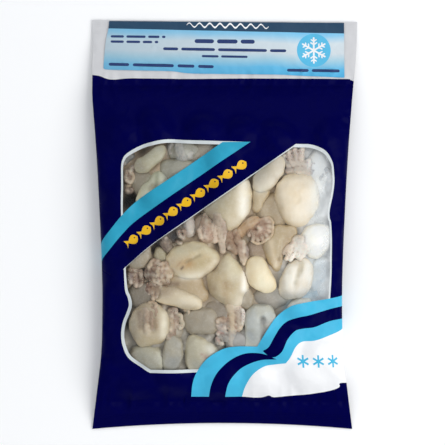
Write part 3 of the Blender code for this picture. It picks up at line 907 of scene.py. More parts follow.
        (9.3, -74.6, 9.6, -77.8, 9.7, -82, 3, 2.8, 0.5, "brown"),
        (14.5, -70.1, 15.5, -74.4, 14.7, -80.2, 3.5, 3.3, 0.3, "white"),
        (12.7, -79.6, 13.2, -81.7, 12.7, -84.4, 4.3, 4.3, 0, "cream"),
        (-0.9, -78.5, -4.4, -77.7, -6, -79.3, 5, 4.5, 0.25, "umber"),
        (-5.6, -82.7, -3.6, -84.7, -0.1, -84.4, 4.3, 4, 0.3, "lilac"),
        (-4.4, -81.1, -1.9, -81.4, 1.9, -81.7, 7.5, 6.6, 1, "ash"),
        (0.1, -87.9, -3.2, -87.2, -5.3, -89.1, 4.5, 4, 0.5, "ash"),
        (-6.2, -93, -5.3, -96, -2.4, -97.4, 4.3, 3.8, 0.6, "ash"),
        (-2, -91.8, -0.2, -91.7, 1.6, -92.7, 6.6, 6.6, 0.6, "ash"),
        (9.3, -66.8, 10.1, -76.2, 9.5, -84.5, 11.6, 9.1, 1.1, "pink"),
        (6, -88.5, 5.3, -94.2, 6.1, -99.9, 7.5, 6.6, 0.9, "ash"),
        (3.4, -78.4, 3, -81, 3.5, -84.4, 3.5, 3.3, 1, "brown"),
    ),
}
LIMB_TONES = {
    "white": (240, 234, 224), "pale": (212, 199, 181), "cream": (206, 189, 160), "tan": (190, 163, 130),
    "pink": (172, 147, 128), "umber": (164, 139, 116), "brown": (144, 118, 99), "dark": (108, 89, 77),
    "dun": (156, 140, 125), "grey": (158, 153, 145), "ash": (176, 173, 165), "glass": (172, 177, 180),
    "lilac": (190, 175, 163), "violet": (138, 122, 117),
}
HEAP_LIGHT = {  # how light each heap is: those deep among the others lie in their shade
    "folded_left": (0.82, 0.76, 0.72), "edge": (0.6, 0.59, 0.59), "long_left": (0.66, 0.62, 0.62),
    "beside_open": (0.74, 0.77, 0.82), "open_left": (0.93, 0.92, 0.95), "lobes": (0.54, 0.52, 0.51),
    "broad_head": (0.92, 0.86, 0.81), "rosette": (0.96, 0.9, 0.84), "arms_middle": (0.89, 0.85, 0.81),
    "bright_right": (1.06, 1.06, 1.05), "plump_head": (0.92, 0.92, 0.95), "corner_left": (0.68, 0.76, 0.84),
    "corner_middle": (0.82, 0.85, 0.88), "middle_head": (0.86, 0.84, 0.84),
}
FILM_CLEARANCE = 0.0007
LIMB_POINTS = 8
LIMB_KNOBS, KNOB_HEIGHT = (1.5, 3.5), 0.00022  # swellings along a limb
LIMB_SHADES = (0.86, 1.06)
SUCKER_LIMIT = 0.0030  # the widest half arm with suckers and a paler tip
PRESS_STEP, PRESS_PAST, PRESS_SHARE, PRESS_MOST = 0.0010, 0.0009, 1.15, 0.0040
PRESS_FROM, PRESS_WIDEST = 0.00062, 0.0044  # deeper and wider limbs don't press: they grow out of the mantle


def limb_line(rng, row):
    """Points along one limb, just under the film, and how thick it is at each."""
    (start, middle, end), widths = np.array(row[:6]).reshape(3, 2) / 1000, np.array(row[6:8]) / 1000
    t = np.linspace(0, 1, LIMB_POINTS)
    bend = 2 * middle - (start + end) / 2
    plan = np.outer((1 - t) ** 2, start) + np.outer(2 * t * (1 - t), bend) + np.outer(t**2, end)
    knobs = np.sin(2 * math.pi * (rng.uniform(*LIMB_KNOBS) * t + rng.uniform()))
    radii = (widths[0] + (widths[1] - widths[0]) * t) / 2
    radii = radii + KNOB_HEIGHT * knobs * (radii < SUCKER_LIMIT)
    top = upper_film(*plan.T) - FILM_CLEARANCE - (row[8] + (row[-2] - row[8]) * t) / 1000
    return np.column_stack([plan, top - radii]), radii


def pressed_grid():
    """How far the heaps press the mantles down from the film: a grid of depths over the bag."""
    xs, ys = bag_grid(PRESS_STEP)
    depths = np.zeros((len(ys), len(xs)))
    for points, radii in (limb for limbs in heap_limbs.values() for limb in limbs):
        for (x, y, z), radius in zip(points, radii):
            drop = upper_film(np.array([x]), np.array([y]))[0] - FILM_CLEARANCE - z - radius
            if drop >= PRESS_FROM or radius >= PRESS_WIDEST:
                continue
            near = int((radius + 2 * PRESS_PAST) / PRESS_STEP) + 2
            i, j = int((x - xs[0]) / PRESS_STEP), int((y - ys[0]) / PRESS_STEP)
            part = (slice(max(j - near, 0), j + near), slice(max(i - near, 0), i + near))
            away = np.hypot(xs[part[1]][None] - x, ys[part[0]][:, None] - y)
            depth = min(drop + PRESS_SHARE * radius, PRESS_MOST)
            within = smooth((radius + PRESS_PAST - away) / (2 * PRESS_PAST))
            depths[part] = np.maximum(depths[part], depth * within)
    return xs, ys, depths


def linear_weights(t):
    return (0 * t, 1 - t, t, 0 * t)


def pressed_down(x, y):
    return on_grid(PRESSED, x, y, linear_weights)


heap_limbs, heap_tones = {}, {}
for number, (name, rows) in enumerate(HEAPS.items()):
    rng = np.random.default_rng(number + 40)
    heap_limbs[name] = [limb_line(rng, row) for row in rows]
    shares = rng.uniform(*LIMB_SHADES, len(rows))
    own = np.array([colour(*LIMB_TONES[row[-1]])[:3] for row in rows])
    heap_tones[name] = np.minimum(own * shares[:, None] * HEAP_LIGHT[name], 1.0)
PRESSED = pressed_grid()

# Mantles.
# Whole baby cuttlefish, skinned, gutted and frozen together: plump white bags of muscle, some dented,
# folded or split, each pressed flat where it touches the film. Every mantle is skinned over its own form.
MANTLES = {  # middle, rise of the crest over the bag's bulge, colour, which paints in the light and shade of its place, paler at the right and darker at the left and lower down, frost, and its reach all round, in mm
    "plump_right": (59.2, 20.7, 4, (230, 217, 193), 0,
        18.3, 19.2, 21.3, 22.3, 21.6, 21.2, 20.8, 20, 18.7, 17.8, 19.7, 21.8, 23.6, 22.1, 19.3, 18.6),
    "broad_middle": (3.3, 20.2, 3, (206, 194, 166), 0,
        19, 20.3, 22.5, 24.9, 24.5, 21.7, 19.8, 19.3, 20.1, 22.3, 21.9, 21.9, 25.6, 23.2, 20.3, 19.2),
    "under_band": (36, 41.1, 1.8, (210, 201, 183), 0.05,
        11.6, 15, 17.9, 17, 13.4, 11, 10.2, 10.4, 12, 14, 18, 17.8, 13.3, 10.7, 9.8, 10),
    "cone_upper": (28.6, 22.4, -0.4, (187, 170, 138), 0.1,
        6.6, 8.9, 11, 11.2, 10.2, 9.8, 8.8, 7.1, 6.2, 6.8, 8.3, 13.2, 12.5, 7, 6.2, 5.6),
    "funnel": (43.6, -15.8, 0.3, (186, 169, 138), 0,
        8.1, 16.5, 20.5, 16.6, 15.5, 14.2, 13.2, 13, 12.9, 13.4, 14.3, 18.3, 22.3, 11.1, 7.5, 7.2),
    "bright_right": (75.9, -12.4, 4, (255, 253, 246), 0,
        13.6, 15.5, 15.3, 13.9, 13.1, 13.2, 14.1, 13.8, 14.4, 14, 14.2, 15.8, 15, 12.9, 12, 12.2),
    "split_bun": (58.6, -44.8, 3, (232, 225, 211), 0,
        13.5, 14.7, 18.2, 19.6, 16.6, 14.2, 13.1, 13, 13.9, 15.7, 18.7, 18.3, 16, 15.2, 13.9, 13.2),
    "cream_egg": (28.6, -41, 3, (232, 219, 188), 0,
        10.1, 9.2, 9.8, 12.6, 15.6, 16.7, 15.6, 12.6, 11, 10.9, 11.3, 12.5, 14.1, 16.4, 16.5, 14.2),
    "grey_cap": (62.2, -68.9, 0.5, (210, 214, 208), 0.1,
        10.6, 10.8, 11, 10.7, 9.9, 9.6, 9.8, 10.8, 11.5, 10.7, 10.5, 10.3, 10.1, 10, 10.2, 10.4),
    "curled": (29.2, -80.7, 1, (187, 190, 184), 0.05,
        13.1, 13.4, 15.2, 16.5, 16.5, 15.6, 14.6, 13.4, 12.8, 13.7, 15.6, 18.3, 19.2, 17.3, 15, 13.5),
    "folded_left": (-25.5, -29.6, 4.2, (208, 194, 162), 0,
        21.7, 20.4, 17.9, 16.4, 16.2, 16.8, 18.4, 20.2, 23.2, 22.3, 19.1, 17.4, 16.2, 16.2, 16.6, 19.2),
    "under_folded": (-30.6, -50, -0.8, (181, 161, 128), 0.1,
        15.4, 14.3, 13.1, 12.6, 12.8, 13.9, 15.7, 18.5, 20.1, 14.5, 11.3, 10.1, 10.6, 12.3, 19.8, 19.5),
    "long_left": (-37.7, -59.9, 2.5, (208, 194, 166), 0,
        17.9, 10.7, 8.7, 8.1, 8.5, 10.7, 13.2, 19.7, 21.2, 12.8, 8.8, 7.5, 7.7, 9.4, 13.2, 20.2),
    "middle_down": (3, -46.8, 3.4, (200, 187, 158), 0,
        16.7, 15.6, 16.3, 18.9, 24.3, 20, 16.4, 18.1, 18, 17.6, 18.2, 18, 20.6, 21.6, 19.6, 18.3),
    "behind_middle": (17.8, -60.3, -0.5, (162, 151, 131), 0.1,
        6.6, 6.7, 7, 8.9, 9.4, 7.9, 7.2, 6.6, 6.7, 7, 7.7, 8.4, 9.2, 8.6, 7.1, 6.6),
    "hazy_middle": (-18.5, -78.9, -1.5, (161, 152, 134), 0.3,
        15.7, 16.4, 15.5, 13.2, 12.3, 12.4, 13.6, 16.2, 16.8, 15.4, 14.6, 13.2, 12.8, 13.2, 14.4, 15.3),
    "hazy_foot": (9, -95.7, -1.5, (156, 154, 152), 0.3,
        9.5, 9.4, 9.2, 8.9, 8.7, 8.7, 8.9, 9.2, 9.4, 9.4, 9.7, 10, 10.4, 10.2, 9.8, 9.6),
    "left_edge": (-69.4, -25.9, 1, (158, 148, 130), 0.05,
        9.6, 10.3, 12.3, 12.2, 10.1, 8.6, 8.2, 8.6, 9.9, 11.6, 11.4, 11.3, 10.2, 9.4, 8.8, 8.9),
    "cream_lobe": (-51.8, -25, 1, (168, 159, 132), 0,
        5.6, 5.2, 5.5, 6.4, 7.6, 7.5, 6.8, 5.8, 5.5, 5.8, 6.2, 6.7, 7, 7, 7, 6.6),
    "open_left": (-61.3, -82, 4, (190, 178, 152), 0,
        17, 17, 17.7, 18.3, 18.4, 17.9, 17.9, 17.1, 16.4, 16.5, 17.9, 19.3, 17.9, 17.7, 17.7, 17.3),
    "foot_left": (-63.1, -111.9, 1.5, (168, 165, 149), 0.05,
        14.1, 14.2, 15.3, 15.3, 14.3, 14.5, 15.8, 16.2, 14.5, 14.3, 14.3, 14.7, 14.8, 15.6, 15.9, 14.9),
    "foot_upright": (-42.7, -106.1, 1, (163, 160, 149), 0.05,
        8.6, 9.4, 11.5, 15.5, 16.3, 13.2, 10.1, 8.6, 8.3, 9.2, 11, 15.8, 16.2, 12.9, 10.2, 8.8),
    "foot_pink": (-19.3, -107.4, 3, (186, 180, 158), 0,
        16.7, 14.8, 13.9, 14.2, 16.4, 19.3, 18, 15.2, 13.9, 14.3, 15.8, 17, 16.7, 16.3, 16.4, 17.3),
    "corner_left": (-60.8, 52.9, 1.8, (174, 170, 148), 0,
        10, 13.6, 15.7, 11.4, 6.8, 6.1, 6, 6.9, 10.8, 13.9, 14.6, 11.6, 8.4, 6.7, 6.4, 7),
    "corner_middle": (-34, 60.2, -2, (140, 141, 131), 0.1,
        12.5, 11.8, 9.8, 8.4, 8, 8.7, 9.6, 10.1, 11.5, 12.4, 10.2, 9, 7.4, 7.5, 8.8, 10.7),
    "upper_mid": (-38.2, 42.7, -1, (144, 146, 134), 0.2,
        16.7, 16.6, 14.1, 12.1, 11.6, 12.4, 14.5, 16.8, 16.4, 15.2, 13.8, 13, 13, 13.3, 13.8, 15.1),
    "dented_left": (-56.2, 25.6, 1.5, (206, 206, 182), 0.05,
        15.7, 16.9, 17, 19.1, 18.9, 13.3, 12.6, 13, 14.3, 17.8, 19.7, 17.9, 15.9, 14.6, 13.9, 14.3),
}
# What is folded, split or torn in them, as dents cut in and ridges laid on: start and end, the width at
# both, and how deep a dent reaches or how deep a ridge's top lies at both, under the crest, in millimetres.
FOLDS = {
    "folded_left": (
        ("dent", -31.8, -30.8, -20.5, -25.1, 2.8, 3.8, 1.2, 1.7),
        ("dent", -20.5, -25.1, -12.3, -26.3, 3.5, 2.5, 1.6, 0.7),
        ("dent", -29.4, -32.5, -13.8, -30.8, 7.5, 9.1, 1.2, 2.3),
    ),
    "split_bun": (
        ("dent", 64.5, -26.6, 61.8, -37.1, 2.3, 3.7, 1.4, 3.6),
        ("dent", 61.8, -37.1, 57.6, -48.4, 3.7, 3.3, 3.6, 2.2),
        ("dent", 57.6, -48.4, 56.4, -61.6, 3.3, 3.7, 2.2, 1.6),
        ("dent", 63.1, -32.3, 56.7, -55, 10, 10.8, 2.2, 1.9),
    ),
    "curled": (
        ("dent", 28.2, -72.4, 31.7, -104, 21.6, 24.9, 5.5, 6.5),
        ("ridge", 22.9, -100.8, 22.4, -78.5, 12.9, 12.9, 1, 0.3),
        ("ridge", 22.4, -78.5, 26.5, -71.1, 12.9, 11.6, 0.3, 0.2),
        ("ridge", 26.5, -71.1, 33.9, -71, 11.6, 10, 0.2, 0.3),
        ("ridge", 33.9, -71, 37.4, -78.9, 10, 9.1, 0.3, 1),
        ("ridge", 37.4, -78.9, 37.5, -88.1, 9.1, 7.5, 1, 3.4),
    ),
    "funnel": (
        ("ridge", 37.9, -10.8, 41.6, -33.4, 6.6, 5, 0.5, 0.8),
        ("dent", 47.2, -12.5, 44.1, -28.6, 3.3, 2.7, 1.2, 2.2),
        ("dent", 31.9, -10.9, 34.7, -23.6, 3.3, 2.5, 1.2, 1),
    ),
    "middle_down": (
        ("dent", -1.3, -51.1, 2.9, -50.3, 5.8, 6.6, 0.7, 0.8),
        ("dent", -0.1, -58.8, 2, -64.9, 2.5, 3.3, 0.6, 1),
        ("dent", -13.5, -59.3, -2.3, -67.3, 1.7, 3.3, 0.5, 1),
    ),
    "cream_egg": (
        ("dent", 27.5, -30.1, 29.8, -36.6, 5, 5, 0.5, 0.5),
        ("dent", 36.2, -37.5, 38.8, -45.8, 4.1, 5, 0.4, 0.8),
        ("dent", 30, -48.3, 34.8, -53.3, 5, 5, 0.4, 0.8),
    ),
    "open_left": (
        ("dent", -63, -70.7, -62.5, -82.6, 20.8, 18.3, 3.4, 3.2),
        ("ridge", -64.1, -80.1, -62.3, -89.4, 5, 4.1, 1.6, 0.6),
    ),
    "foot_pink": (("dent", -17.3, -113.7, -10.6, -105.2, 5.8, 5, 0.8, 1.4),),
    "dented_left": (("dent", -54.3, 42.2, -55.9, 30.2, 5, 5.8, 0.6, 2.2),),
    "corner_middle": (
        ("dent", -41.6, 64.4, -41.3, 52.4, 1.7, 2, 1.4, 2.2),
        ("dent", -29.2, 62, -28.3, 52.3, 1.7, 2, 0.6, 1.2),
    ),
    "broad_middle": (("dent", -10.4, 8.6, 1.2, -1.2, 4.1, 4.1, 0.8, 1.2),),
    "plump_right": (
        ("dent", 48, 26.8, 69.5, 27.9, 2.2, 2.2, 0.4, 0.45),
        ("dent", 49.8, 21.9, 71.2, 22.5, 2, 2, 0.4, 0.35),
        ("dent", 51.6, 14.5, 66.2, 14.6, 2.2, 2.2, 0.35, 0.35),
    ),
    "long_left": (("dent", -33.7, -70.7, -23.9, -69.8, 1.7, 1.7, 3, 3),),
    "left_edge": (("dent", -68.7, -20.4, -64.6, -30.2, 3.3, 3.3, 0.6, 0.8),),
    "foot_left": (("dent", -72.9, -103.8, -61, -112.1, 4.1, 4.1, 0.7, 0.9),),
}
# Pieces that lie deeper, out of the film's reach, and fill the gaps: middle, heading in degrees, length,
# width and rise in millimetres, colour, which paints in the light at the right and the shade deep in the
# gaps at the left, and frost.
DEEP_PIECES = {
    "deep_upper": (40.5, 10.6, 60, 36, 31, -3.5, (176, 160, 134), 0.15),
    "deep_centre": (30.6, -20.5, 20, 31, 24, -4.5, (160, 140, 120), 0.1),
    "deep_right": (80.3, -42.8, 90, 36, 24, -3.5, (196, 206, 212), 0.2),
    "deep_top": (76.5, 41.6, 80, 42, 24, -4, (222, 224, 222), 0.3),
    "deep_lobes": (-10.5, -1.8, 0, 36, 27, -5, (160, 142, 126), 0.1),
    "deep_stripe": (-44, -6.8, 30, 34, 26, -5.5, (92, 82, 74), 0.1),
    "deep_left": (-66.4, -59, 0, 32, 27, -6, (120, 114, 102), 0.2),
    "deep_haze": (-5.5, -73.9, 0, 36, 28, -5, (140, 130, 116), 0.3),
    "deep_wave": (20.6, -92.5, 40, 34, 28, -4.5, (140, 138, 134), 0.4),
    "deep_low": (38, -59, 10, 36, 22, -4.5, (150, 148, 142), 0.3),
    "deep_foot": (-44, -87.6, 90, 30, 24, -5, (160, 150, 132), 0.1),
    "deep_corner": (-64, 33, 120, 36, 26, -6, (140, 132, 114), 0.1),
    "deep_crown": (-18, 60, 10, 34, 22, -4, (150, 148, 138), 0.3),
}
# Stains on them, with painted highlights on lit rims and painted shade on shaded sides and between pieces,
# each along a line: start, end and width in millimetres, colour and strength.
STAINS_HIGHLIGHTS_AND_SHADE = (
    (41.2, 27.5, 45.8, 8.2, 3.7, 186, 166, 132, 0.55), (75.2, 33, 73.8, 10.7, 5, 255, 252, 242, 0.75),
    (59.4, 9, 64.4, 4.2, 5.8, 242, 234, 216, 0.4), (52.9, 39.5, 61.3, 40.5, 4.1, 206, 192, 166, 0.5),
    (-10.5, 11.8, 0.7, 30.8, 10, 146, 141, 122, 0.75), (15.5, 32.4, 15.5, 8.9, 5, 246, 242, 230, 0.8),
    (6.9, 1.1, 6.9, 1.1, 5, 226, 214, 196, 0.4), (-10.4, 7.8, -7, 4.5, 4.1, 150, 130, 114, 0.55),
    (24.5, 37.4, 32.8, 44.1, 6.6, 166, 160, 142, 0.5), (27.9, 27.4, 37.8, 32.5, 3.3, 222, 216, 198, 0.6),
    (37.4, -14, 41.2, -33.4, 2.5, 222, 207, 180, 0.7), (52.3, -9.3, 45.8, -28.6, 3.3, 164, 142, 112, 0.6),
    (41.7, -5.2, 53.2, -5.3, 5, 176, 156, 124, 0.4), (31, -14.9, 33.2, -22, 2.5, 158, 134, 104, 0.5),
    (19.8, -30.3, 20.5, -45.1, 3.3, 204, 184, 144, 0.55), (29.9, -45, 31.5, -48.3, 6.6, 248, 240, 212, 0.6),
    (26, -28.6, 29.8, -30.1, 4.1, 214, 200, 166, 0.4), (46.2, -41.7, 48, -56.6, 4.1, 196, 188, 170, 0.6),
    (64.7, -55, 61.3, -58.3, 4.1, 204, 204, 196, 0.5), (63.1, -32.3, 61.4, -37.9, 2.2, 206, 194, 158, 0.8),
    (60.5, -38.7, 57.1, -47.6, 1.7, 196, 188, 164, 0.8), (57.1, -48.4, 56.3, -59.9, 1.7, 206, 202, 188, 0.5),
    (68.2, -33.9, 68.9, -43.5, 3.3, 250, 247, 236, 0.5), (55.5, -35.4, 53.8, -46.7, 2.9, 250, 247, 236, 0.5),
    (64.2, -11.1, 65.8, -20.9, 2.9, 234, 222, 206, 0.5), (-27.7, -31.7, -13, -29.2, 5.4, 182, 164, 124, 0.8),
    (-33.5, -32.4, -29.4, -31.6, 5, 190, 158, 116, 0.7), (-29.4, -31.2, -29.4, -31.2, 2.5, 186, 148, 96, 0.5),
    (-35.1, -36, -33.9, -34.4, 0.9, 112, 88, 68, 0.9), (-38.8, -33.9, -36, -30.7, 0.8, 170, 134, 104, 0.5),
    (-31, -30.4, -20.5, -25.1, 1.5, 158, 142, 108, 0.7), (-37.7, -20.9, -15, -18.5, 4.1, 186, 178, 152, 0.6),
    (-34.4, -43.3, -14.5, -40.2, 3, 238, 229, 208, 0.85), (-12.8, -38.9, -6.9, -30.7, 3, 232, 224, 202, 0.8),
    (-14.9, -20.2, -8.3, -25, 2.5, 214, 206, 178, 0.6), (-42.6, -30.6, -40.9, -37.1, 3.3, 192, 172, 144, 0.6),
    (-10.3, -43, -9.9, -56.1, 6.2, 176, 158, 126, 0.75), (-4.1, -30.6, -8.7, -37.2, 4.1, 182, 165, 135, 0.6),
    (1.2, -50.3, 1.2, -50.3, 4.6, 174, 150, 114, 0.75), (0.1, -46.9, 0.1, -46.9, 2, 164, 138, 102, 0.5),
    (-8.9, -52, -8.9, -52, 2.2, 160, 134, 102, 0.5), (0.1, -56.3, 2.1, -63.2, 2.8, 182, 158, 124, 0.55),
    (15.7, -40.2, 15.9, -52.8, 2.8, 252, 248, 238, 0.9), (12.9, -61.5, 9.4, -65.9, 3.7, 236, 226, 206, 0.7),
    (5.8, -35.3, 8.5, -41.1, 5, 206, 198, 172, 0.4), (-33.3, -61.6, -22, -64, 4.1, 222, 212, 190, 0.7),
    (-52.7, -54.8, -46, -54.9, 4.1, 174, 154, 130, 0.65), (-41.1, -52.5, -31.5, -55, 2.5, 184, 167, 138, 0.5),
    (-33.6, -67.4, -23.8, -68.1, 2.1, 180, 166, 138, 0.5),
    (-48.5, -53.2, -36.1, -47.7, 5, 164, 146, 120, 0.5), (-69.5, -19.5, -62, -22.1, 3.3, 142, 132, 112, 0.5),
    (-73.1, -30.1, -66.3, -26.9, 4.1, 172, 164, 146, 0.5),
    (-63.9, -72.4, -61.6, -80.9, 7.5, 150, 130, 108, 0.85),
    (-69.3, -72.4, -69.1, -83.5, 2.5, 116, 98, 82, 0.6),
    (-62.9, -82.6, -62.3, -89.4, 2.2, 206, 192, 168, 0.7),
    (-55.8, -78.4, -55.2, -83.5, 2.5, 168, 144, 116, 0.6),
    (-67.8, -94.5, -55.7, -95.3, 3.7, 184, 168, 134, 0.6),
    (-48.7, -72.5, -49.8, -90.2, 3.3, 222, 214, 192, 0.85),
    (-74.9, -80.1, -73.5, -91.9, 3.3, 158, 147, 128, 0.6),
    (-63.7, -64.3, -54.5, -65.2, 2, 172, 156, 132, 0.6),
    (-52.5, -104.5, -51.1, -117, 2.3, 204, 204, 188, 0.7),
    (-76.2, -103.8, -75.5, -108.8, 3.3, 112, 100, 82, 0.7),
    (-68.8, -102.1, -57.6, -102, 4.1, 174, 168, 144, 0.5),
    (-65.8, -112.1, -57.8, -115.4, 5, 146, 144, 130, 0.5),
    (-45.4, -97.7, -42.3, -103.5, 4.1, 182, 174, 152, 0.5),
    (-41.7, -112.7, -43.5, -117.7, 5, 144, 146, 142, 0.7), (-29.4, -96.6, -26, -105.1, 5, 178, 171, 148, 0.5),
    (-11.5, -100, -8.9, -105.2, 4.1, 206, 204, 192, 0.7),
    (-15.6, -107.7, -14.8, -108.6, 2.2, 176, 150, 142, 0.8),
    (-18.6, -105.6, -18.6, -105.6, 1.2, 160, 126, 118, 0.6),
    (-12.2, -109.9, -12.2, -109.9, 1.1, 160, 126, 118, 0.6),
    (-23.5, -115.3, -16.4, -117.1, 5, 164, 164, 152, 0.6), (-59.4, 56.5, -52.8, 54, 4.1, 168, 166, 144, 0.5),
    (-71.8, 48.6, -67.6, 46.2, 3.3, 158, 150, 132, 0.6), (-53.6, 62, -50.3, 62, 2.5, 150, 150, 138, 0.5),
    (-30.8, 58.7, -30.4, 57.9, 3, 184, 184, 174, 0.7), (-41.6, 63.6, -41.3, 53.2, 1.1, 120, 118, 106, 0.7),
    (-54.7, 41.4, -55.9, 31, 2.5, 138, 142, 118, 0.8), (-60.8, 30.2, -58.4, 31.8, 2.5, 126, 118, 96, 0.6),
    (-59.3, 39.8, -66.7, 29.4, 2.2, 178, 178, 152, 0.6), (-50.1, 40.6, -46.8, 36.6, 3.3, 148, 154, 142, 0.5),
    (30.3, -76.5, 31.2, -80.7, 1.8, 150, 148, 142, 0.6), (22.4, -72.6, 22.4, -84.3, 4.1, 186, 190, 186, 0.4),
    (19.8, -89.3, 22.4, -94.2, 4.1, 150, 156, 158, 0.6), (59.7, -61.6, 66.3, -61.6, 3.3, 206, 210, 200, 0.4),
    (52.1, -30.4, 50.4, -51.6, 2.5, 240, 236, 222, 0.7), (48, -59.2, 64.7, -59.1, 4.1, 178, 176, 166, 0.8),
    (62.3, -31.5, 59.7, -41.9, 1.5, 182, 168, 142, 0.6), (62.3, -30.6, 60.5, -38.7, 2.2, 206, 198, 178, 0.6),
    (-50.1, -47.9, -38.6, -48.4, 2, 126, 104, 82, 0.8), (5.5, -28.9, 10, -38.6, 4.1, 214, 206, 178, 0.6),
    (32, -80.7, 32.9, -95.6, 3.7, 150, 149, 145, 0.8), (-5.2, -87.7, -1.9, -88.8, 1.3, 170, 130, 116, 0.6),
    (-6.7, -92.6, -4.6, -95.2, 1.3, 168, 132, 120, 0.6),
    (-7.1, -109.5, -5.4, -112.1, 1.2, 190, 140, 120, 0.6),
)
HOLLOWS = (  # gaps between the pieces, dipped and with painted shade: place, radius and depth in millimetres, and how dark the painted shade is
    (-78.5, 18.5, 9.5, 9, 1), (-59, -20.5, 3.6, 5, 0.8), (-55, -15, 3.6, 5, 0.8), (-41.5, -10, 4.2, 6, 0.8),
    (-65.5, -40.5, 3.6, 5, 1), (-80.5, -80, 4, 5, 0.8), (-19, 3, 3, 4, 0.8), (-80, -60, 8, 1, 0.45),
    (-39, -70.5, 2.5, 4, 0.9), (31.8, -77.6, 3.4, 1, 0.4), (74, 57, 8.5, 1, 0.4), (-67.8, 59.3, 6, 2, 0.35),
    (35, -60, 8, 1.5, 0.4),
)
SKIN_STEP, DEEP_STEP, SKIN_MARGIN, SKIN_PASSES = 0.00080, 0.0011, 0.0030, 2
BACK_CLEARANCE = 0.0022
PRESSED_SOFT = 0.0014  # how softly a piece flattens against the film
FLATNESS = 2.3  # 2 makes a mantle's section an ellipse, and more makes it fuller
DENT_BLEND, RIDGE_BLEND = 0.0012, 0.0020
MANTLE_WOBBLE = ((0.0160, 0.00034), (0.0066, 0.00020))  # size and height of the unevenness of the flesh
MANTLE_ROUND, MANTLE_DEEPEST = 0.80, 0.0125  # depth from crest to middle, as a share of the half width
FROST_FROM, FROST_TO = 0.0045, 0.0150  # how deep under the film the haze of frost begins and closes
RIM_SHADE_TINT, RIM_FROM = (0.97, 0.93, 0.85), 0.75  # painted shade on a mantle's rim, where it turns away from the light, warmed by its thin flesh
HOLLOW_FROM, HOLLOW_OVER = 0.0032, 0.0030  # how deep under the film their painted shade begins, and over what depth
HOLLOW_SHADE_COLOUR = (10, 22, 36)
NOTHING = 1e-12


def reach_at(radii, x, y):
    """How far an outline reaches towards a place, from its radii at even angles round its middle."""
    turn = (np.arctan2(y, x) / (2 * math.pi)) % 1.0 * len(radii)
    first = np.floor(turn).astype(int)
    weights = enumerate(cubic_weights(turn - first))
    return sum(weight * radii[(first + k - 1) % len(radii)] for k, weight in weights)


def swelling(place, radii, depth):
    """Distance to a body that fills an outline and is as deep as this over and under its middle."""
    x, y, z = place
    out_to = np.hypot(x, y)
    near = (out_to / reach_at(radii, x, y)) ** FLATNESS + np.abs(z / depth) ** FLATNESS
    far = np.sqrt(out_to**2 + z**2)
    return far - far / np.maximum(near ** (1 / FLATNESS), 1e-6)


def furrow(place, start, end, widths, heights, middles):
    """Distance to a long round body along a line in the plan, for cutting a dent or laying on a ridge."""
    x, y, z = place
    rx, ry = end[0] - start[0], end[1] - start[1]
    share = ((x - start[0]) * rx + (y - start[1]) * ry) / max(rx * rx + ry * ry, NOTHING)
    share = np.clip(share, 0.0, 1.0)
    aside = np.hypot(x - start[0] - share * rx, y - start[1] - share * ry)
    wide, high, level = (a + (b - a) * share for a, b in (widths, heights, middles))
    return (np.sqrt((aside / wide) ** 2 + ((z - level) / high) ** 2) - 1) * np.minimum(wide, high)


def joined(first, second, blend):
    """Two forms grown together, with a fillet as wide as the blend."""
    share = np.clip(0.5 + 0.5 * (second - first) / blend, 0.0, 1.0)
    return second + (first - second) * share - blend * share * (1 - share)


def uneven(form, place, waves, seed, count=12):
    """A form made uneven by soft random waves through it, each of a size and a height."""
    for number, (size, height) in enumerate(waves):
        rng = np.random.default_rng(seed + number)
        total = 0.0
        for _ in range(count):
            ahead = rng.normal(size=3)
            ahead *= 2 * math.pi / (size * rng.uniform(0.7, 1.5) * np.linalg.norm(ahead))
            total = total + np.sin(sum(p * h for p, h in zip(place, ahead)) + rng.uniform(0, 2 * math.pi))
        form = form + height * (total / math.sqrt(count / 2))
    return form


def skin(form, low, high, step):
    """Quads over the surface of a form, which gives the distance to it at any place. A cell of the grid
    that the surface passes through gets one point, at the mean of where it crosses the cell's edges."""
    axes = [np.arange(a, b + step, step) for a, b in zip(low, high)]
    distance = form(np.meshgrid(*axes, indexing="ij", sparse=True))
    counts = [len(axis) - 1 for axis in axes]
    corners = [(i, j, k) for i in (0, 1) for j in (0, 1) for k in (0, 1)]
    at = {c: distance[tuple(slice(o, o + n) for o, n in zip(c, counts))] for c in corners}
    within = sum((value < 0).astype(np.int8) for value in at.values())
    cells = np.nonzero((within > 0) & (within < 8))
    values = {corner: value[cells] for corner, value in at.items()}
    total, crossings = np.zeros((len(cells[0]), 3)), np.zeros(len(cells[0]))
    for corner, axis in ((corner, axis) for corner in corners for axis in range(3) if not corner[axis]):
        other = tuple(1 if k == axis else c for k, c in enumerate(corner))
        first, second = values[corner], values[other]
        crossed = (first < 0) != (second < 0)
        share = np.where(crossed, first / np.where(crossed, first - second, 1.0), 0.0)
        offset = np.repeat(np.array(corner, float)[None], len(share), 0)
        offset[:, axis] += share
        total += offset * crossed[:, None]
        crossings += crossed
    points = (np.stack(cells, 1) + total / crossings[:, None]) * step + np.array(low)
    number = np.full(counts, -1)
    number[cells] = np.arange(len(points))
    faces = []
    for axis in range(3):
        grid, ids = np.moveaxis(distance, axis, 0), np.moveaxis(number, axis, 0)
        if axis == 1:
            grid, ids = np.swapaxes(grid, 1, 2), np.swapaxes(ids, 1, 2)
        inner = grid[:, 1:-1, 1:-1] < 0
        i, j, k = np.nonzero(inner[:-1] != inner[1:])
        quad = np.stack([ids[i, j, k], ids[i, j + 1, k], ids[i, j + 1, k + 1], ids[i, j, k + 1]], 1)
        faces.append(np.where(inner[:-1][i, j, k][:, None], quad, quad[:, ::-1]))
    return points, np.concatenate(faces)


def relaxed(points, faces, passes):
    """The points drawn towards the mean of their neighbours."""
    edges = np.concatenate([faces[:, [k, (k + 1) % 4]] for k in range(4)])
    count = np.bincount(edges[:, 0], minlength=len(points))
    for _ in range(passes):
        total = [np.bincount(edges[:, 0], points[edges[:, 1], k], len(points)) for k in range(3)]
        points = points * 0.5 + np.stack(total, 1) / np.maximum(count, 1)[:, None] * 0.5
    return points


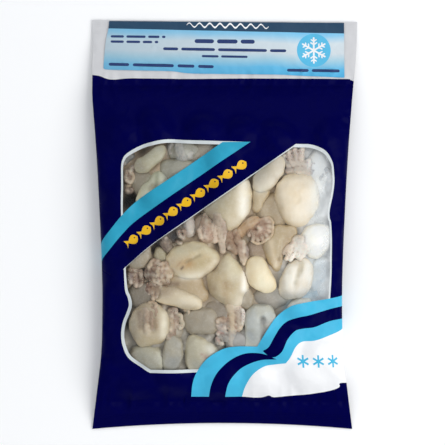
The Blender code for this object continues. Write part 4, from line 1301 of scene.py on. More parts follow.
def lean_at(x, y, reach=0.012):
    """The bulge's slope at a place."""
    x, y = np.array([x]), np.array([y])
    steps = ((reach, 0), (0, reach))
    return [float((bulge(x + a, y + b) - bulge(x - a, y - b))[0] / (2 * reach)) for a, b in steps]


def under_film(points, lower=0.0, soft=PRESSED_SOFT):
    """Points pressed under the film, wherever they would come through it, or this much lower, and kept
    above the film at the back."""
    x, y, z = points.T
    top = upper_film(x, y) - FILM_CLEARANCE - lower
    over = (z - top) / soft
    pressed = top - soft * np.log1p(np.exp(-np.clip(over, -30, 30)))
    lying = np.minimum(lower_film(x, y) + BACK_CLEARANCE, top - BACK_CLEARANCE / 2)
    return np.column_stack([x, y, np.maximum(pressed, lying)])


def body_form(radii, depth, folds, seed):
    """The distance to a mantle, as a function of the place in its own frame, which starts in its middle."""

    def distance(place):
        x, y, z = place
        form = swelling(place, radii, depth)
        for kind, (x1, y1, x2, y2, width_1, width_2, *deep) in folds:
            halves = (width_1 / 2, width_2 / 2)
            line = ((x, y, z - depth), (x1, y1), (x2, y2), halves)
            if kind == "dent":
                form = -joined(-form, furrow(*line, deep, (0.0, 0.0)), DENT_BLEND)
            else:
                levels = [-low - half for low, half in zip(deep, halves)]
                form = joined(form, furrow(*line, halves, levels), RIDGE_BLEND)
        return uneven(form, place, MANTLE_WOBBLE, seed)

    return distance


def crest_height(x, y, rise):
    """Height at which a piece's crest lies: at its own rise, or under the film where that is lower."""
    x, y = np.array([x]), np.array([y])
    return float(min(bulge(x, y)[0] + rise, film_height(x, y)[0]) - FILM_CLEARANCE)


def near_hollow(x, y, hollow):
    """1 in the middle of a hollow, falling to 0 round it."""
    at_x, at_y, radius = np.divide(hollow, 1000)
    return np.exp(-(((x - at_x) ** 2 + (y - at_y) ** 2) / radius**2) ** 1.5)


def hollow_at(x, y):
    """How much painted shade a hollow gives a place, from 0 to 1."""
    return np.max([dark * near_hollow(x, y, hollow) for *hollow, _, dark in HOLLOWS], 0)


def towards(shades, tone, share):
    """Shades that go over to an sRGB tone, by a share for each of them."""
    return shades + (np.array(colour(*tone)[:3]) - shades) * np.reshape(share, (-1, 1))


def shaded(points, shades, haze, rim=None):
    """Colour and frost of each point: its own tone, the stains, painted highlights and painted shade near it,
    the painted shade of its rim and of a hollow.
    """
    if rim is not None:
        # Painted shade, darker and warmer, towards each mantle's rim.
        thin = smooth((rim - RIM_FROM) / (1 - RIM_FROM))[:, None]
        shades = shades * (1 + (np.array(RIM_SHADE_TINT) - 1) * thin)
    # Stains, painted highlights and painted shade, each faded in along its line.
    for x1, y1, x2, y2, width, *stain_and_light_tone, strength in STAINS_HIGHLIGHTS_AND_SHADE:
        start, run = np.array((x1, y1)) / 1000, np.array((x2 - x1, y2 - y1)) / 1000
        off = points[:, :2] - start
        share = np.clip(off @ run / max(run @ run, NOTHING), 0.0, 1.0)
        aside = ((off - share[:, None] * run) ** 2).sum(1)
        shades = towards(shades, stain_and_light_tone, np.exp(-aside / (width / 1000) ** 2) * strength)
    x, y, z = points.T
    deep = film_height(x, y) - z
    # The painted shade of a hollow, on what lies deep in it.
    dark = hollow_at(x, y) * smooth((deep - HOLLOW_FROM) / HOLLOW_OVER)
    frost = haze + (1 - haze) * smooth((deep - FROST_FROM) / (FROST_TO - FROST_FROM))
    return towards(shades, HOLLOW_SHADE_COLOUR, dark), frost * (1 - dark)


def marked(obj, **fields):
    """Puts values on a mesh's points: a number, a direction or a colour for each."""
    for name, values in fields.items():
        values = np.array(values, float).reshape(len(obj.data.vertices), -1)
        kinds = {1: ("FLOAT", "value"), 3: ("FLOAT_VECTOR", "vector"), 4: ("FLOAT_COLOR", "color")}
        kind, field = kinds[values.shape[1]]
        obj.data.attributes.new(name, kind, "POINT").data.foreach_set(field, values.ravel())
    return obj


def gathered_piece(name, parts):
    """One object out of several (points, faces, shades, frost) parts, with its colours on its points."""
    offsets = np.cumsum([0] + [len(part[0]) for part in parts])
    faces = [face for part, offset in zip(parts, offsets) for face in (np.array(part[1]) + offset).tolist()]
    points, shades, frost = (np.concatenate([part[k] for part in parts]) for k in (0, 2, 3))
    tone = np.concatenate([shades, np.ones((len(shades), 1))], 1)
    return marked(piece(name, points, faces), tone=tone, frost=frost)


def body(x, y, rise, tone, haze, radii, step, depth, folds, seed):
    """A mantle skinned in its own frame, laid in the bag so that it leans with the film, and shaded."""
    reach = radii.max() + SKIN_MARGIN
    box = np.array((reach, reach, depth + SKIN_MARGIN))
    points, faces = skin(body_form(radii, depth, folds, seed), -box, box, step)
    points = relaxed(points, faces, SKIN_PASSES)
    rim = np.hypot(*points[:, :2].T) / reach_at(radii, *points[:, :2].T)
    lifted = points[:, :2] @ lean_at(x, y) + crest_height(x, y, rise) - depth
    points = points + np.column_stack([np.full((len(points), 2), (x, y)), lifted])
    points = under_film(points, pressed_down(points[:, 0], points[:, 1]))
    return points, faces, *shaded(points, np.tile(colour(*tone)[:3], (len(points), 1)), haze, rim)


def mantle(name, seed):
    """One of the mantles behind the window, from its outline."""
    x, y, rise, tone, haze, *radii = MANTLES[name]
    radii = np.array(radii) / 1000
    width = (radii[:8] + radii[8:]).min()
    depth = min(MANTLE_DEEPEST, max(PIECE_DEPTH * 0.8, MANTLE_ROUND * width / 2))
    folds = []
    for kind, x1, y1, x2, y2, *sizes in FOLDS.get(name, ()):
        folds.append((kind, np.array((x1 - x, y1 - y, x2 - x, y2 - y, *sizes)) / 1000))
    return body(x / 1000, y / 1000, rise / 1000, tone, haze, radii, SKIN_STEP, depth, folds, seed)


def deep_mantle(name, seed):
    """One of the pieces below, from an oval outline."""
    x, y, turn, length, width, rise, tone, haze = DEEP_PIECES[name]
    around = np.radians(np.arange(0, 360, 22.5) - turn)
    radii = 1 / np.hypot(np.cos(around) / (length / 2000), np.sin(around) / (width / 2000))
    depth = min(MANTLE_DEEPEST, MANTLE_ROUND * width / 2000)
    return body(x / 1000, y / 1000, rise / 1000, tone, haze, radii, DEEP_STEP, depth, (), seed)


def haze_group():
    """Colour of the frost between the pieces: beige, greyer towards the foot, and at the right side whitish
    with painted light, turning to a bluish grey towards the foot.
    """
    group, _, end = new_group("frost haze", "Shader", (), (("Color", "Color"),))
    own_place = out(group, "ShaderNodeTexCoord", output="Object")
    x, y, _ = node(group, "ShaderNodeSeparateXYZ", {0: own_place}).outputs
    # Painted light: the frost is paler at the right side, where the key lamp is.
    right = band(group, times(group, noise(group, 40.0, 3.0), 0.05, x), 0.055, 0.100)
    low = mixed(group, band(group, y, -0.045, -0.095), colour(168, 150, 126), colour(150, 145, 134))
    side = mixed(group, band(group, y, -0.018, -0.060), colour(224, 228, 229), colour(146, 176, 192))
    feed(group, end, {"Color": mixed(group, right, low, side)})
    return group


FROST_HAZE = haze_group()


def point_value(tree, name, output="Fac"):
    return out(tree, "ShaderNodeAttribute", output=output, attribute_name=name)


def flesh_material():
    """Flesh of the mantles: mottled with warmer patches, speckled, and fading into the frost."""
    even = {"Roughness": 0.38, "Specular IOR Level": 0.45, "Subsurface Weight": 0.5}
    even |= {"Subsurface Radius": (1.0, 0.94, 0.86), "Subsurface Scale": 0.0030}
    made, tree, shader = new_material("cuttlefish_flesh", even)
    tone = point_value(tree, "tone", "Color")
    broad, fine = noise(tree, 95.0, 3.0, 0.6), noise(tree, 620.0, 2.0)
    warm = mixed(tree, 1.0, tone, (0.93, 0.86, 0.72, 1.0), "MULTIPLY")
    mottled = mixed(tree, band(tree, broad, 0.40, 0.75, 0.0, 0.55), tone, warm)
    pale = band(tree, fine, 0.50, 0.80, 0.0, 0.10, "LINEAR")
    speckled = mixed(tree, pale, mottled, (1.0, 0.98, 0.94, 1.0))
    haze = out(tree, "ShaderNodeGroup", node_tree=FROST_HAZE)
    shown = mixed(tree, point_value(tree, "frost"), speckled, haze)
    normal = bumps(tree, times(tree, broad, 3.0, fine), 0.00008)
    feed(tree, shader, {"Base Color": shown, "Normal": normal})
    return made


FLESH = flesh_material()
names = list(MANTLES)
half_way = len(names) // 2
right_ones = [mantle(name, 10 * k) for k, name in enumerate(names[:half_way])]
left_ones = [mantle(name, 300 + 10 * k) for k, name in enumerate(names[half_way:])]
deep_ones = [deep_mantle(name, 600 + 10 * k) for k, name in enumerate(DEEP_PIECES)]
for name, ones in (("mantles_right", right_ones), ("mantles_left", left_ones), ("mantles_deep", deep_ones)):
    dressed(gathered_piece(name, ones), "bag", "cuttlefish", FLESH)

# Heads and arms.
# Each cuttlefish ends in a head with short thick arms, frozen into a curled heap: pinkish brown skin with
# painted shade in its folds and painted highlights on its ridges, and small pale suckers. Each heap is grown
# together.
LIMB_BLEND, HEAP_STEP = 0.0010, 0.00055
HEAP_WOBBLE = ((0.0034, 0.00014), (0.0016, 0.00005))
# Painted shade in the folds and painted highlights on the ridges: how smooth, how high, and their tints.
FOLD_PASSES, FOLD_HEIGHT, FOLD_SHADE_TINT = 12, 0.00028, (0.68, 0.58, 0.52)
TIP_TONE, TIP_REACH, TIP_SHARE = (226, 214, 194), 0.0020, 0.42
RIDGE_HIGHLIGHT_TONE, RIDGE_HIGHLIGHT_SHARE = (220, 203, 176), 0.20
TONE_REACH, LIMB_PRESSED = 0.0007, 0.0004
SUCKERS_EACH_SIDE, SUCKER_SIZE, SUCKER_SUNK = 4, 0.17, 0.98  # size and place as shares of the arm's radius
SUCKER_RIM, SUCKER_RADIUS, SUCKER_CORNERS = 0.42, 0.68, 7
NO_SUCKERS = ("bright_right", "corner_middle", "open_left")  # heaps seen from the side without any


def limb_distance(place, points, radii):
    """Distance to a row of balls grown into one limb."""
    near = np.inf
    for start, end, first, last in zip(points, points[1:], radii, radii[1:]):
        run = end - start
        share = np.clip(sum((p - s) * r for p, s, r in zip(place, start, run)) / (run @ run), 0.0, 1.0)
        away = np.sqrt(sum((p - s - share * r) ** 2 for p, s, r in zip(place, start, run)))
        near = np.minimum(near, away - first - (last - first) * share)
    return near


def heap_part(limbs, tones, seed):
    """A heap of limbs grown together, with painted shade in its folds and painted highlights on its ridges."""

    def distance(place):
        form = limb_distance(place, *limbs[0])
        for limb in limbs[1:]:
            form = joined(form, limb_distance(place, *limb), LIMB_BLEND)
        return uneven(form, place, HEAP_WOBBLE, seed)

    middles = np.concatenate([points for points, _ in limbs])
    margin = np.concatenate([radii for _, radii in limbs])[:, None] + SKIN_MARGIN / 2
    points, faces = skin(distance, (middles - margin).min(0), (middles + margin).max(0), HEAP_STEP)
    points = relaxed(points, faces, 1)
    near = np.stack([limb_distance(points.T, *limb) for limb in limbs], 1)
    weights = np.exp(-(near - near.min(1)[:, None]) / TONE_REACH)
    shades = weights @ tones / weights.sum(1)[:, None]
    # Painted shade in the folds and painted highlights on the ridges, from how far each point stands above its
    # smoothed neighbours.
    ridge = (points[:, 2] - relaxed(points, faces, FOLD_PASSES)[:, 2]) / FOLD_HEIGHT
    fold, crest = np.clip(-ridge, 0, 1), np.clip(ridge, 0, 1)
    folded = shades * (1 + (np.array(FOLD_SHADE_TINT) - 1) * fold[:, None])
    shades = towards(folded, RIDGE_HIGHLIGHT_TONE, crest * RIDGE_HIGHLIGHT_SHARE)
    ends = np.array([limb[-1] for limb, radii in limbs if radii.max() < SUCKER_LIMIT])
    if len(ends):
        away = np.linalg.norm(points[:, None, :2] - ends[None, :, :2], axis=2).min(1)
        shades = towards(shades, TIP_TONE, np.exp(-((away / TIP_REACH) ** 2)) * TIP_SHARE * (1 - fold))
    points = under_film(points, soft=LIMB_PRESSED)
    return points, faces, *shaded(points, shades, 0.0)


def sucker_places(rng, points, radii):
    """Two rows of suckers along an arm: place, direction and size of each."""
    along = np.gradient(points, axis=0)
    along /= np.linalg.norm(along, axis=1)[:, None]
    side = rng.uniform(0.4, 1.2) * rng.choice((-1, 1))
    facing = np.stack([-along[:, 1] * side, along[:, 0] * side, np.full(len(along), 0.7)], 1)
    rows = (*points.T, radii, *facing.T, *np.cross(along, facing).T)
    found = []
    for t in np.linspace(0.15, 0.95, SUCKERS_EACH_SIDE) * (len(points) - 1):
        knot = np.array([np.interp(t, np.arange(len(points)), row) for row in rows])
        for half in (0.5, -0.5):
            lean = knot[4:7] + half * knot[7:]
            lean /= np.linalg.norm(lean)
            place, size = knot[:3] + lean * knot[3] * SUCKER_SUNK, knot[3] * SUCKER_SIZE
            if place[2] + size < upper_film(*place[:2, None])[0] - FILM_CLEARANCE:
                found.append((*place, *lean, size))
    return found


def line_mesh(name, points, edges, **fields):
    """An object of bare points and lines, with values on its points."""
    mesh = bpy.data.meshes.new(name)
    mesh.from_pydata(np.array(points).tolist(), edges, [])
    return marked(put_down(name, mesh), **fields)


def grown(source, tree, settings):
    """Puts a tree's result in place of its object's mesh, as a plain mesh."""
    modifier = source.modifiers.new(tree.name, "NODES")
    modifier.node_group = tree
    for socket in tree.interface.items_tree:
        if socket.name in settings:
            modifier[socket.identifier] = settings[socket.name]
    evaluated = source.evaluated_get(bpy.context.evaluated_depsgraph_get())
    plain = bpy.data.meshes.new_from_object(evaluated)
    source.modifiers.clear()
    source.data = plain
    return source


def finished(tree, geometry, finish, end):
    """Ends a tree: shaded smooth, made real, and with its material."""
    even = out(tree, "GeometryNodeSetShadeSmooth", {"Geometry": geometry})
    real = out(tree, "GeometryNodeRealizeInstances", {"Geometry": even})
    feeds = {"Geometry": real, "Material": finish}
    feed(tree, end, {"Geometry": out(tree, "GeometryNodeSetMaterial", feeds)})
    return tree


def ring(tree, corners, radius):
    return out(tree, "GeometryNodeCurvePrimitiveCircle", {"Resolution": corners, "Radius": radius})


def mark(tree, name, kind="FLOAT"):
    return out(tree, "GeometryNodeInputNamedAttribute", {"Name": name}, "Attribute", data_type=kind)


def sucker_tree():
    """Sets a small ring on each point of a mesh, leaning and as large as the point says."""
    inputs = (("Points", "Geometry"), ("Around", "Int", SUCKER_CORNERS))
    inputs += (("Rim", "Float", SUCKER_RIM), ("Finish", "Material"))
    tree, given, end = new_group("suckers", "Geometry", inputs, (("Geometry", "Geometry"),))
    line, rim = ring(tree, given["Around"], SUCKER_RADIUS), ring(tree, 4, given["Rim"])
    cup = out(tree, "GeometryNodeCurveToMesh", {"Curve": line, "Profile Curve": rim})
    lean = mark(tree, "lean", "FLOAT_VECTOR")
    turn = out(tree, "FunctionNodeAlignRotationToVector", {"Vector": lean}, axis="Z")
    points = out(tree, "GeometryNodeMeshToPoints", {"Mesh": given["Points"]})
    feeds = {"Points": points, "Instance": cup, "Rotation": turn, "Scale": mark(tree, "size")}
    return finished(tree, out(tree, "GeometryNodeInstanceOnPoints", feeds), given["Finish"], end)


def arm_material():
    """Skin of the arms: pinkish brown, with purple specks and a paler bloom."""
    even = {"Roughness": 0.40, "Specular IOR Level": 0.3, "Subsurface Weight": 0.3}
    even |= {"Subsurface Radius": (1.0, 0.6, 0.5), "Subsurface Scale": 0.0020}
    made, tree, shader = new_material("cuttlefish_arms", even)
    place = out(tree, "ShaderNodeTexCoord", output="Object")
    specks = out(tree, "ShaderNodeTexVoronoi", {"Vector": place, "Scale": 700.0})
    broad = noise(tree, 180.0, 3.0)
    amount = times(tree, band(tree, specks, 0.18, 0.45, 1.0, 0.0), band(tree, broad, 0.50, 0.66, 0.0, 0.55))
    bloom = band(tree, broad, 0.50, 0.30, 0.0, 0.25)
    bloomed = mixed(tree, bloom, point_value(tree, "tone", "Color"), colour(220, 204, 182))
    spotted = mixed(tree, amount, bloomed, colour(96, 66, 66))
    haze = out(tree, "ShaderNodeGroup", node_tree=FROST_HAZE)
    shown = mixed(tree, point_value(tree, "frost"), spotted, haze)
    feed(tree, shader, {"Base Color": shown, "Normal": bumps(tree, broad, 0.0003)})
    return made


def sucker_material():
    even = {"Roughness": 0.45, "Specular IOR Level": 0.25}
    even |= {"Subsurface Weight": 0.3, "Subsurface Scale": 0.0010}
    made, tree, shader = new_material("cuttlefish_suckers", even)
    share = band(tree, noise(tree, 150.0, 2.0), 0.4, 0.7, 0.0, 0.8, "LINEAR")
    haze = out(tree, "ShaderNodeGroup", node_tree=FROST_HAZE)
    feed(tree, shader, {"Base Color": mixed(tree, share, colour(204, 186, 162), haze)})
    return made


heap_parts, sucker_rows = [], []
for number, (name, limbs) in enumerate(heap_limbs.items()):
    rng = np.random.default_rng(number + 80)
    heap_parts.append(heap_part(limbs, heap_tones[name], 700 + 10 * number))
    for limb_points, limb_radii in limbs:
        if limb_radii.max() < SUCKER_LIMIT and name not in NO_SUCKERS:
            sucker_rows += sucker_places(rng, limb_points, limb_radii)
middle_heap = len(heap_parts) // 2
arm_skin = arm_material()
for name, heaps in (("arms_left", heap_parts[:middle_heap]), ("arms_right", heap_parts[middle_heap:])):
    dressed(gathered_piece(name, heaps), "bag", "cuttlefish", arm_skin)
sucker_rows = np.array(sucker_rows)
suckers = line_mesh("suckers", sucker_rows[:, :3], [], lean=sucker_rows[:, 3:6], size=sucker_rows[:, 6])
sucker_settings = {"Around": SUCKER_CORNERS, "Rim": SUCKER_RIM, "Finish": sucker_material()}
dressed(grown(suckers, sucker_tree(), sucker_settings), "bag", "cuttlefish")

# Frost bed.
# The cuttlefish are frozen together in a little water. The frost fills the gaps between them a few
# millimetres under the film, hiding all that lies deeper, and it is uneven and crusted.
BED_DEPTH, BED_SPACING, BED_REACH, BED_LEAST = 0.0070, 0.0015, 0.008, 0.001


def frost_bed():
    """A grid of the frost's crust under the window, dipping where the gaps between the pieces are dark, and
    marked with the painted shade of each hollow.
    """
    outline = inset(window_outer, -BED_REACH)
    low, high = outline.min(0), outline.max(0)
    xs, ys = np.arange(low[0], high[0], BED_SPACING), np.arange(low[1], high[1], BED_SPACING)
    x, y = (grid.ravel() for grid in np.meshgrid(xs, ys))
    px, py = bag_plan(rolled(x), y)
    crust = 0.0012 * ripple(x, y, 0.014, 41) + 0.00025 * ripple(x, y, 0.0055, 42)
    height = upper_film(px, py) - BED_DEPTH + crust
    for *hollow, depth, _ in HOLLOWS:
        height -= depth / 1000 * near_hollow(px, py, hollow)
    columns = len(xs)
    i, j = (grid.ravel() for grid in np.meshgrid(np.arange(columns - 1), np.arange(len(ys) - 1)))
    first = j * columns + i
    quads = np.stack([first, first + 1, first + columns + 1, first + columns], 1)
    quads = quads[inside(np.stack([x, y], 1)[quads].mean(1), outline)]
    points = np.stack([px, py, np.maximum(height, lower_film(px, py) + BED_LEAST)], 1)
    return marked(piece("frost_bed", points, quads), hollow=hollow_at(px, py)[np.unique(quads)])


def frost_material():
    """Lumpy frost, with painted light on its lumps, painted shade in its dips, and painted black-blue shade in
    the deep gaps.
    """
    made, tree, shader = new_material("frost", {"Roughness": 0.6, "Specular IOR Level": 0.1})
    lumps = noise(tree, 110.0, 4.0, 0.6)
    haze = out(tree, "ShaderNodeGroup", node_tree=FROST_HAZE)
    # Painted light on the lumps and painted shade in the dips, following the same bumps.
    lit = mixed(tree, band(tree, lumps, 0.50, 0.75, 0.0, 0.5), haze, colour(206, 200, 188))
    dip_shaded = mixed(tree, band(tree, lumps, 0.48, 0.25, 0.0, 0.6), lit, colour(128, 116, 106))
    # Painted black-blue shade where the hollows are.
    shown = mixed(tree, point_value(tree, "hollow"), dip_shaded, colour(14, 20, 28))
    feed(tree, shader, {"Base Color": shown, "Normal": bumps(tree, lumps, 0.0008)})
    return made


dressed(frost_bed(), "bag", "cuttlefish", frost_material())

# Window.
# The unprinted part of the same film. It is clear, but frost on its inner side leaves a pale veil that
# thickens towards one side.


def window_material():
    even = {"Base Color": colour(226, 230, 232), "Roughness": 0.24, "IOR": 2.0}
    made, tree, shader = new_material("clear_film", even)
    x = out(tree, "ShaderNodeSeparateXYZ", {0: out(tree, "ShaderNodeTexCoord", output="Object")})
    patches = noise(tree, 32.0, 4.0, 0.6)
    veil = times(tree, band(tree, x, 0.052, 0.096, 0.0, 0.95), patches)
    edge = out(tree, "ShaderNodeLayerWeight", {"Blend": 0.25}, "Facing")
    shown = times(tree, edge, 0.12, times(tree, patches, 0.016, veil))
    feed(tree, shader, {"Alpha": shown, "Normal": bumps(tree, noise(tree, 140.0, 3.0), 0.00012)})
    return made


window = piece("window", film_points, film_faces[~printed])
dressed(window, "bag", "clear_film", window_material())

# Label.
# A sticker of coated paper across the header: a slate strip over a sky-blue field that pales towards its
# middle. Simple bars stand where its lines of print were, with waves on the strip and a snowflake disc.
LABEL_SPACING, LABEL_LIFT, LABEL_LEAST = 0.0013, 0.0007, -0.0002
LABEL_LINE = (
    (-95.8, 168.9), (-96.4, 162.7), (-98.7, 150.5), (-100.2, 131.1), (-99.6, 128.9), (-96.9, 128.1),
    (-76.3, 127.5), (-44.6, 126.7), (-28.8, 124.9), (0.3, 124.4), (43.6, 123.9), (59.4, 123.1),
    (75.2, 122.4), (98.6, 121.4),
)
LABEL_END = ((98.6, 121.4), (99.0, 121.8), (99.0, 167.3), (-95.8, 168.9))
STRIP_FOOT = ((-110, 163.0), (-96.4, 162.7), (-3.9, 160.6), (98.9, 158.4), (110, 158.2))
STRIP_END = ((110, 158.2), (110, 175), (-110, 175), (-110, 163.0))
WORDS = (  # each row: height of its middle, thickness, lean in degrees, and where its bars start and end
    (156.0, 2.0, -0.6, ((-94.5, -83.5), (-81.5, -65.5), (-63.5, -54.0), (-52.0, -49.0))),
    (151.6, 2.0, -0.6, ((-94.5, -83.5), (-81.5, -70.0), (-68.0, -60.0), (-58.0, -55.0))),
    (152.0, 3.4, -0.6, ((-25.0, -8.8), (-6.4, 10.8), (13.2, 25.0))),
    (145.6, 2.4, -1.0, ((-51.0, -38.5), (-36.0, -8.0), (-5.5, 35.0), (37.5, 51.0))),
    (139.4, 1.9, -1.0, ((-19.0, -5.0), (-3.0, 19.0))),
    (132.6, 2.5, -1.4, ((-96.0, -79.0), (-76.0, -42.0), (-39.0, -25.0), (-22.0, -9.0))),
    (127.6, 2.4, -0.8, ((51.5, 69.5), (72.0, 95.2))),
)
STRIP_WAVE = (-31.5, 37.0, 165.6, -0.0195)  # from, to, height and slope
WAVE_PITCH, WAVE_HEIGHT, WAVE_THICK = 0.0085, 0.0017, 0.0016
DISC_MIDDLE, DISC_RADIUS = (0.0738, 0.1442), 0.0140
FLAKE_REACH, FLAKE_ARM, FLAKE_TURN, FLAKE_LEAN = 0.0105, 0.0014, 30, 55
FLAKE_BRANCHES, BRANCH_THICK = ((0.45, 0.0030), (0.72, 0.0024)), 0.00105  # how far out, length


def bar(start, end, thickness, points=5):
    """Outline of a straight bar with round ends."""
    start, end = np.array(start), np.array(end)
    turn = math.atan2(*(end - start)[::-1])
    half = np.linspace(-math.pi / 2, math.pi / 2, points)
    caps = []
    for centre, lead in ((end, turn), (start, turn + math.pi)):
        caps.append(centre + thickness / 2 * np.stack([np.cos(half + lead), np.sin(half + lead)], 1))
    return np.concatenate(caps)


def wave_line():
    """Outline of the long wavy line on the strip."""
    start, end, level, slope = STRIP_WAVE
    x = np.arange(start / 1000, end / 1000, WAVE_PITCH / 16)
    rise = level / 1000 + slope * (x - x[0]) + WAVE_HEIGHT * np.sin(2 * math.pi * (x - x[0]) / WAVE_PITCH)
    half = WAVE_THICK / 2 * np.sin(math.pi * np.linspace(0.02, 0.98, len(x))) ** 0.3
    return np.concatenate([np.stack([x, rise + half], 1), np.stack([x, rise - half], 1)[::-1]])


def snowflake(centre):
    """Outlines of the bars of a six-armed snowflake."""
    turns = [math.radians(FLAKE_TURN + 60 * arm) for arm in range(6)]
    bars = []
    for turn in turns[:3]:
        reach = heading(turn) * FLAKE_REACH
        bars.append(bar(centre - reach, centre + reach, FLAKE_ARM))
    for turn, (share, length), side in ((t, b, s) for t in turns for b in FLAKE_BRANCHES for s in (-1, 1)):
        root = centre + heading(turn) * FLAKE_REACH * share
        bars.append(bar(root, root + length * heading(turn + side * math.radians(FLAKE_LEAN)), BRANCH_THICK))
    return bars


label_end = straight(*LABEL_END, spacing=LABEL_SPACING)
label_outline = closed(through(*LABEL_LINE, spacing=LABEL_SPACING), label_end)
label_prints = [
    ("strip_ink", closed(through(*STRIP_FOOT), straight(*STRIP_END))),
    ("sky_ink", circle(DISC_RADIUS, 48) + DISC_MIDDLE),
]
label_prints += [("white_ink", line) for line in (*snowflake(np.array(DISC_MIDDLE)), wave_line())]
for level, thickness, lean, words in WORDS:
    slope = math.tan(math.radians(lean))
    for start, end in words:
        caps = (start + thickness / 2, end - thickness / 2)
        ends = [np.array((x, level + slope * (x - words[0][0]))) / 1000 for x in caps]
        label_prints.append(("word_ink", bar(*ends, thickness / 1000)))


def label_creases(x, y):
    """The sticker has wrinkled with the film where the header bends down to the fill."""
    slanted = -np.abs(ripple(x + 0.6 * y, y * 0.35, 0.020, 61))
    return 0.00065 * smooth((0.142 - y) / 0.020) * (slanted + 0.6) + 0.00010 * ripple(x, y, 0.030, 62)


LABEL_STOPS = (  # from its foot to its head: how far up the field, and the colour there
    (0.0, (70, 168, 216)), (0.18, (92, 182, 224)), (0.34, (160, 202, 220)), (0.50, (206, 216, 222)),
    (0.70, (208, 220, 226)), (0.86, (140, 200, 232)), (1.0, (92, 186, 236)),
)
LABEL_INKS = {
    "strip_ink": ((28, 64, 92), 0.42, 0.3),
    "sky_ink": ((84, 184, 224), 0.36, 0.3),
    "word_ink": ((28, 52, 104), 0.40, 0.3),
}


def label_field_material():
    """Coated paper, printed sky blue and paler towards its middle."""
    made, tree, shader = new_material("label_field", {"Specular IOR Level": 0.3})
    place = out(tree, "ShaderNodeTexCoord", output="Object")
    x, y, _ = node(tree, "ShaderNodeSeparateXYZ", {0: place}).outputs
    wavy = times(tree, noise(tree, 22.0, 2.0), 0.006, times(tree, x, 0.022, y))
    ramp = node(tree, "ShaderNodeValToRGB", {"Fac": band(tree, wavy, 0.1265, 0.1665, kind="LINEAR")})
    for (position, shade), stop in zip((LABEL_STOPS[0], LABEL_STOPS[-1]), ramp.color_ramp.elements):
        stop.position, stop.color = position, colour(*shade)
    for position, shade in LABEL_STOPS[1:-1]:
        ramp.color_ramp.elements.new(position).color = colour(*shade)
    left = band(tree, x, -0.100, 0.060, 0.45, 0.0, "LINEAR")
    dull = mixed(tree, left, ramp.outputs["Color"], colour(120, 158, 178))
    creased(tree, shader, {"Ink": dull, "Worn Ink": dull, "Roughness": 0.30, "Depth": 0.00010})
    return made


flat_label, label_faces, label_inks = cut_sheet(label_outline, label_prints, LABEL_SPACING)
label_inks = np.where(label_inks == "bare", "label_field", label_inks)
label_x, label_y = flat_label.T
label_rise = LABEL_LIFT + np.maximum(label_creases(label_x, label_y), LABEL_LEAST)
label_points = np.stack([label_x, label_y, film_height(label_x, label_y) + label_rise], 1)
label = piece("label", label_points, label_faces)
label_materials = {"label_field": label_field_material(), "white_ink": ink_materials["white_ink"]}
label_materials |= {ink: ink_material(ink, *looks) for ink, looks in LABEL_INKS.items()}
inked(label, label_inks, "header_label", "label_paper", label_materials)

# Back of the bag.
# The same tube of film behind, dark blue too. The waves and the stripe run on round the folds to the fin
# seal, where the edges of the film are welded together and folded flat.
BACK_SPACING = 0.0017
FIN_WIDTH, FIN_THICK, FIN_ROOM = 0.0120, 0.00035, 0.0007
FIN_ROOT = 0.0015  # where it starts, right of the middle of the back
FIN_FLOOR, FIN_STEP, FIN_ENDS = 0.00015, 0.0025, 0.0035
HEADER_EDGE = 0.1185
BACK_CREASE, FILM_GAP = 0.0006, 0.0005


def back_height(u, q, x, y):
    """Height of the back film: on the ground under the fill, lifted a little over the fin."""
    rim = from_rim(u, q)
    level = lower_film(x, y) + FILM_LIFT * (1 - rim)
    side = smooth((np.abs(u) - 0.55) / 0.3) + 0.25
    puckers = ripple(x * 0.4, y, 0.016, 71) + 0.6 * ripple(x, y * 0.3, 0.020, 72)
    past_fin = np.abs(x - (FIN_ROOT - FIN_WIDTH / 2)) - FIN_WIDTH / 2
    over_fin = FIN_ROOM * smooth(1 - past_fin / 0.004)
    back = np.maximum(level + BACK_CREASE * side * rim * puckers, over_fin * rim + (1 - rim) * level)
    return np.minimum(back, film_height(x, y, q) - FILM_GAP * rim)


def back_band(over, *under):
    """A print on the back between two smooth lines, of points given in millimetres round the film and up
    it. Past the fold on one side the film's middle line on the back is 216 mm round."""
    whole_round = 2 * HALF_ROUND * 1000
    lines = [[(math.copysign(whole_round - abs(p), p), q) for p, q in line] for line in (over, under)]
    return closed(*(through(*line) for line in lines))


CORNER_UNDER = ((215, -130.5), (106, -130.5))
BACK_PRINTS = [
    ("teal_ink", back_band(
        ((-106, -16), (-140, -46), (-172, -74), (-200, -99), (-214.5, -112)),
        (-214.5, -126), (-200, -113.5), (-172, -89), (-140, -60), (-106, -30),
    )),
    ("wave_ink", back_band(
        ((106, -57.5), (130, -54.5), (158, -57), (188, -65), (215, -76)), *CORNER_UNDER,
    )),
    ("dark_ink", back_band(
        ((106, -66.5), (130, -64), (158, -67), (188, -76), (215, -88)),
        (215, -92), (188, -84), (158, -77), (130, -74.5), (106, -76.5),
    )),
    ("white_ink", back_band(
        ((106, -85.5), (130, -83), (158, -86), (188, -94.5), (215, -106)), *CORNER_UNDER,
    )),
    ("header_ink", closed(straight((-120, 118.5), (120, 118.5), (120, 180), (-120, 180)))),
]
flat_back, back_faces, back_inks = cut_sheet(film_border, BACK_PRINTS, BACK_SPACING)
back_inks[back_inks == "bare"] = "dark_ink"
back_u = flat_back[:, 0] / HALF_ROUND
back_x, back_y = bag_plan(back_u, flat_back[:, 1])
back_points = np.stack([back_x, back_y, back_height(back_u, flat_back[:, 1], back_x, back_y)], 1)
back_film = piece("back_film", back_points, back_faces[:, ::-1])
inked(back_film, back_inks, "bag", "printed_film", ink_materials)

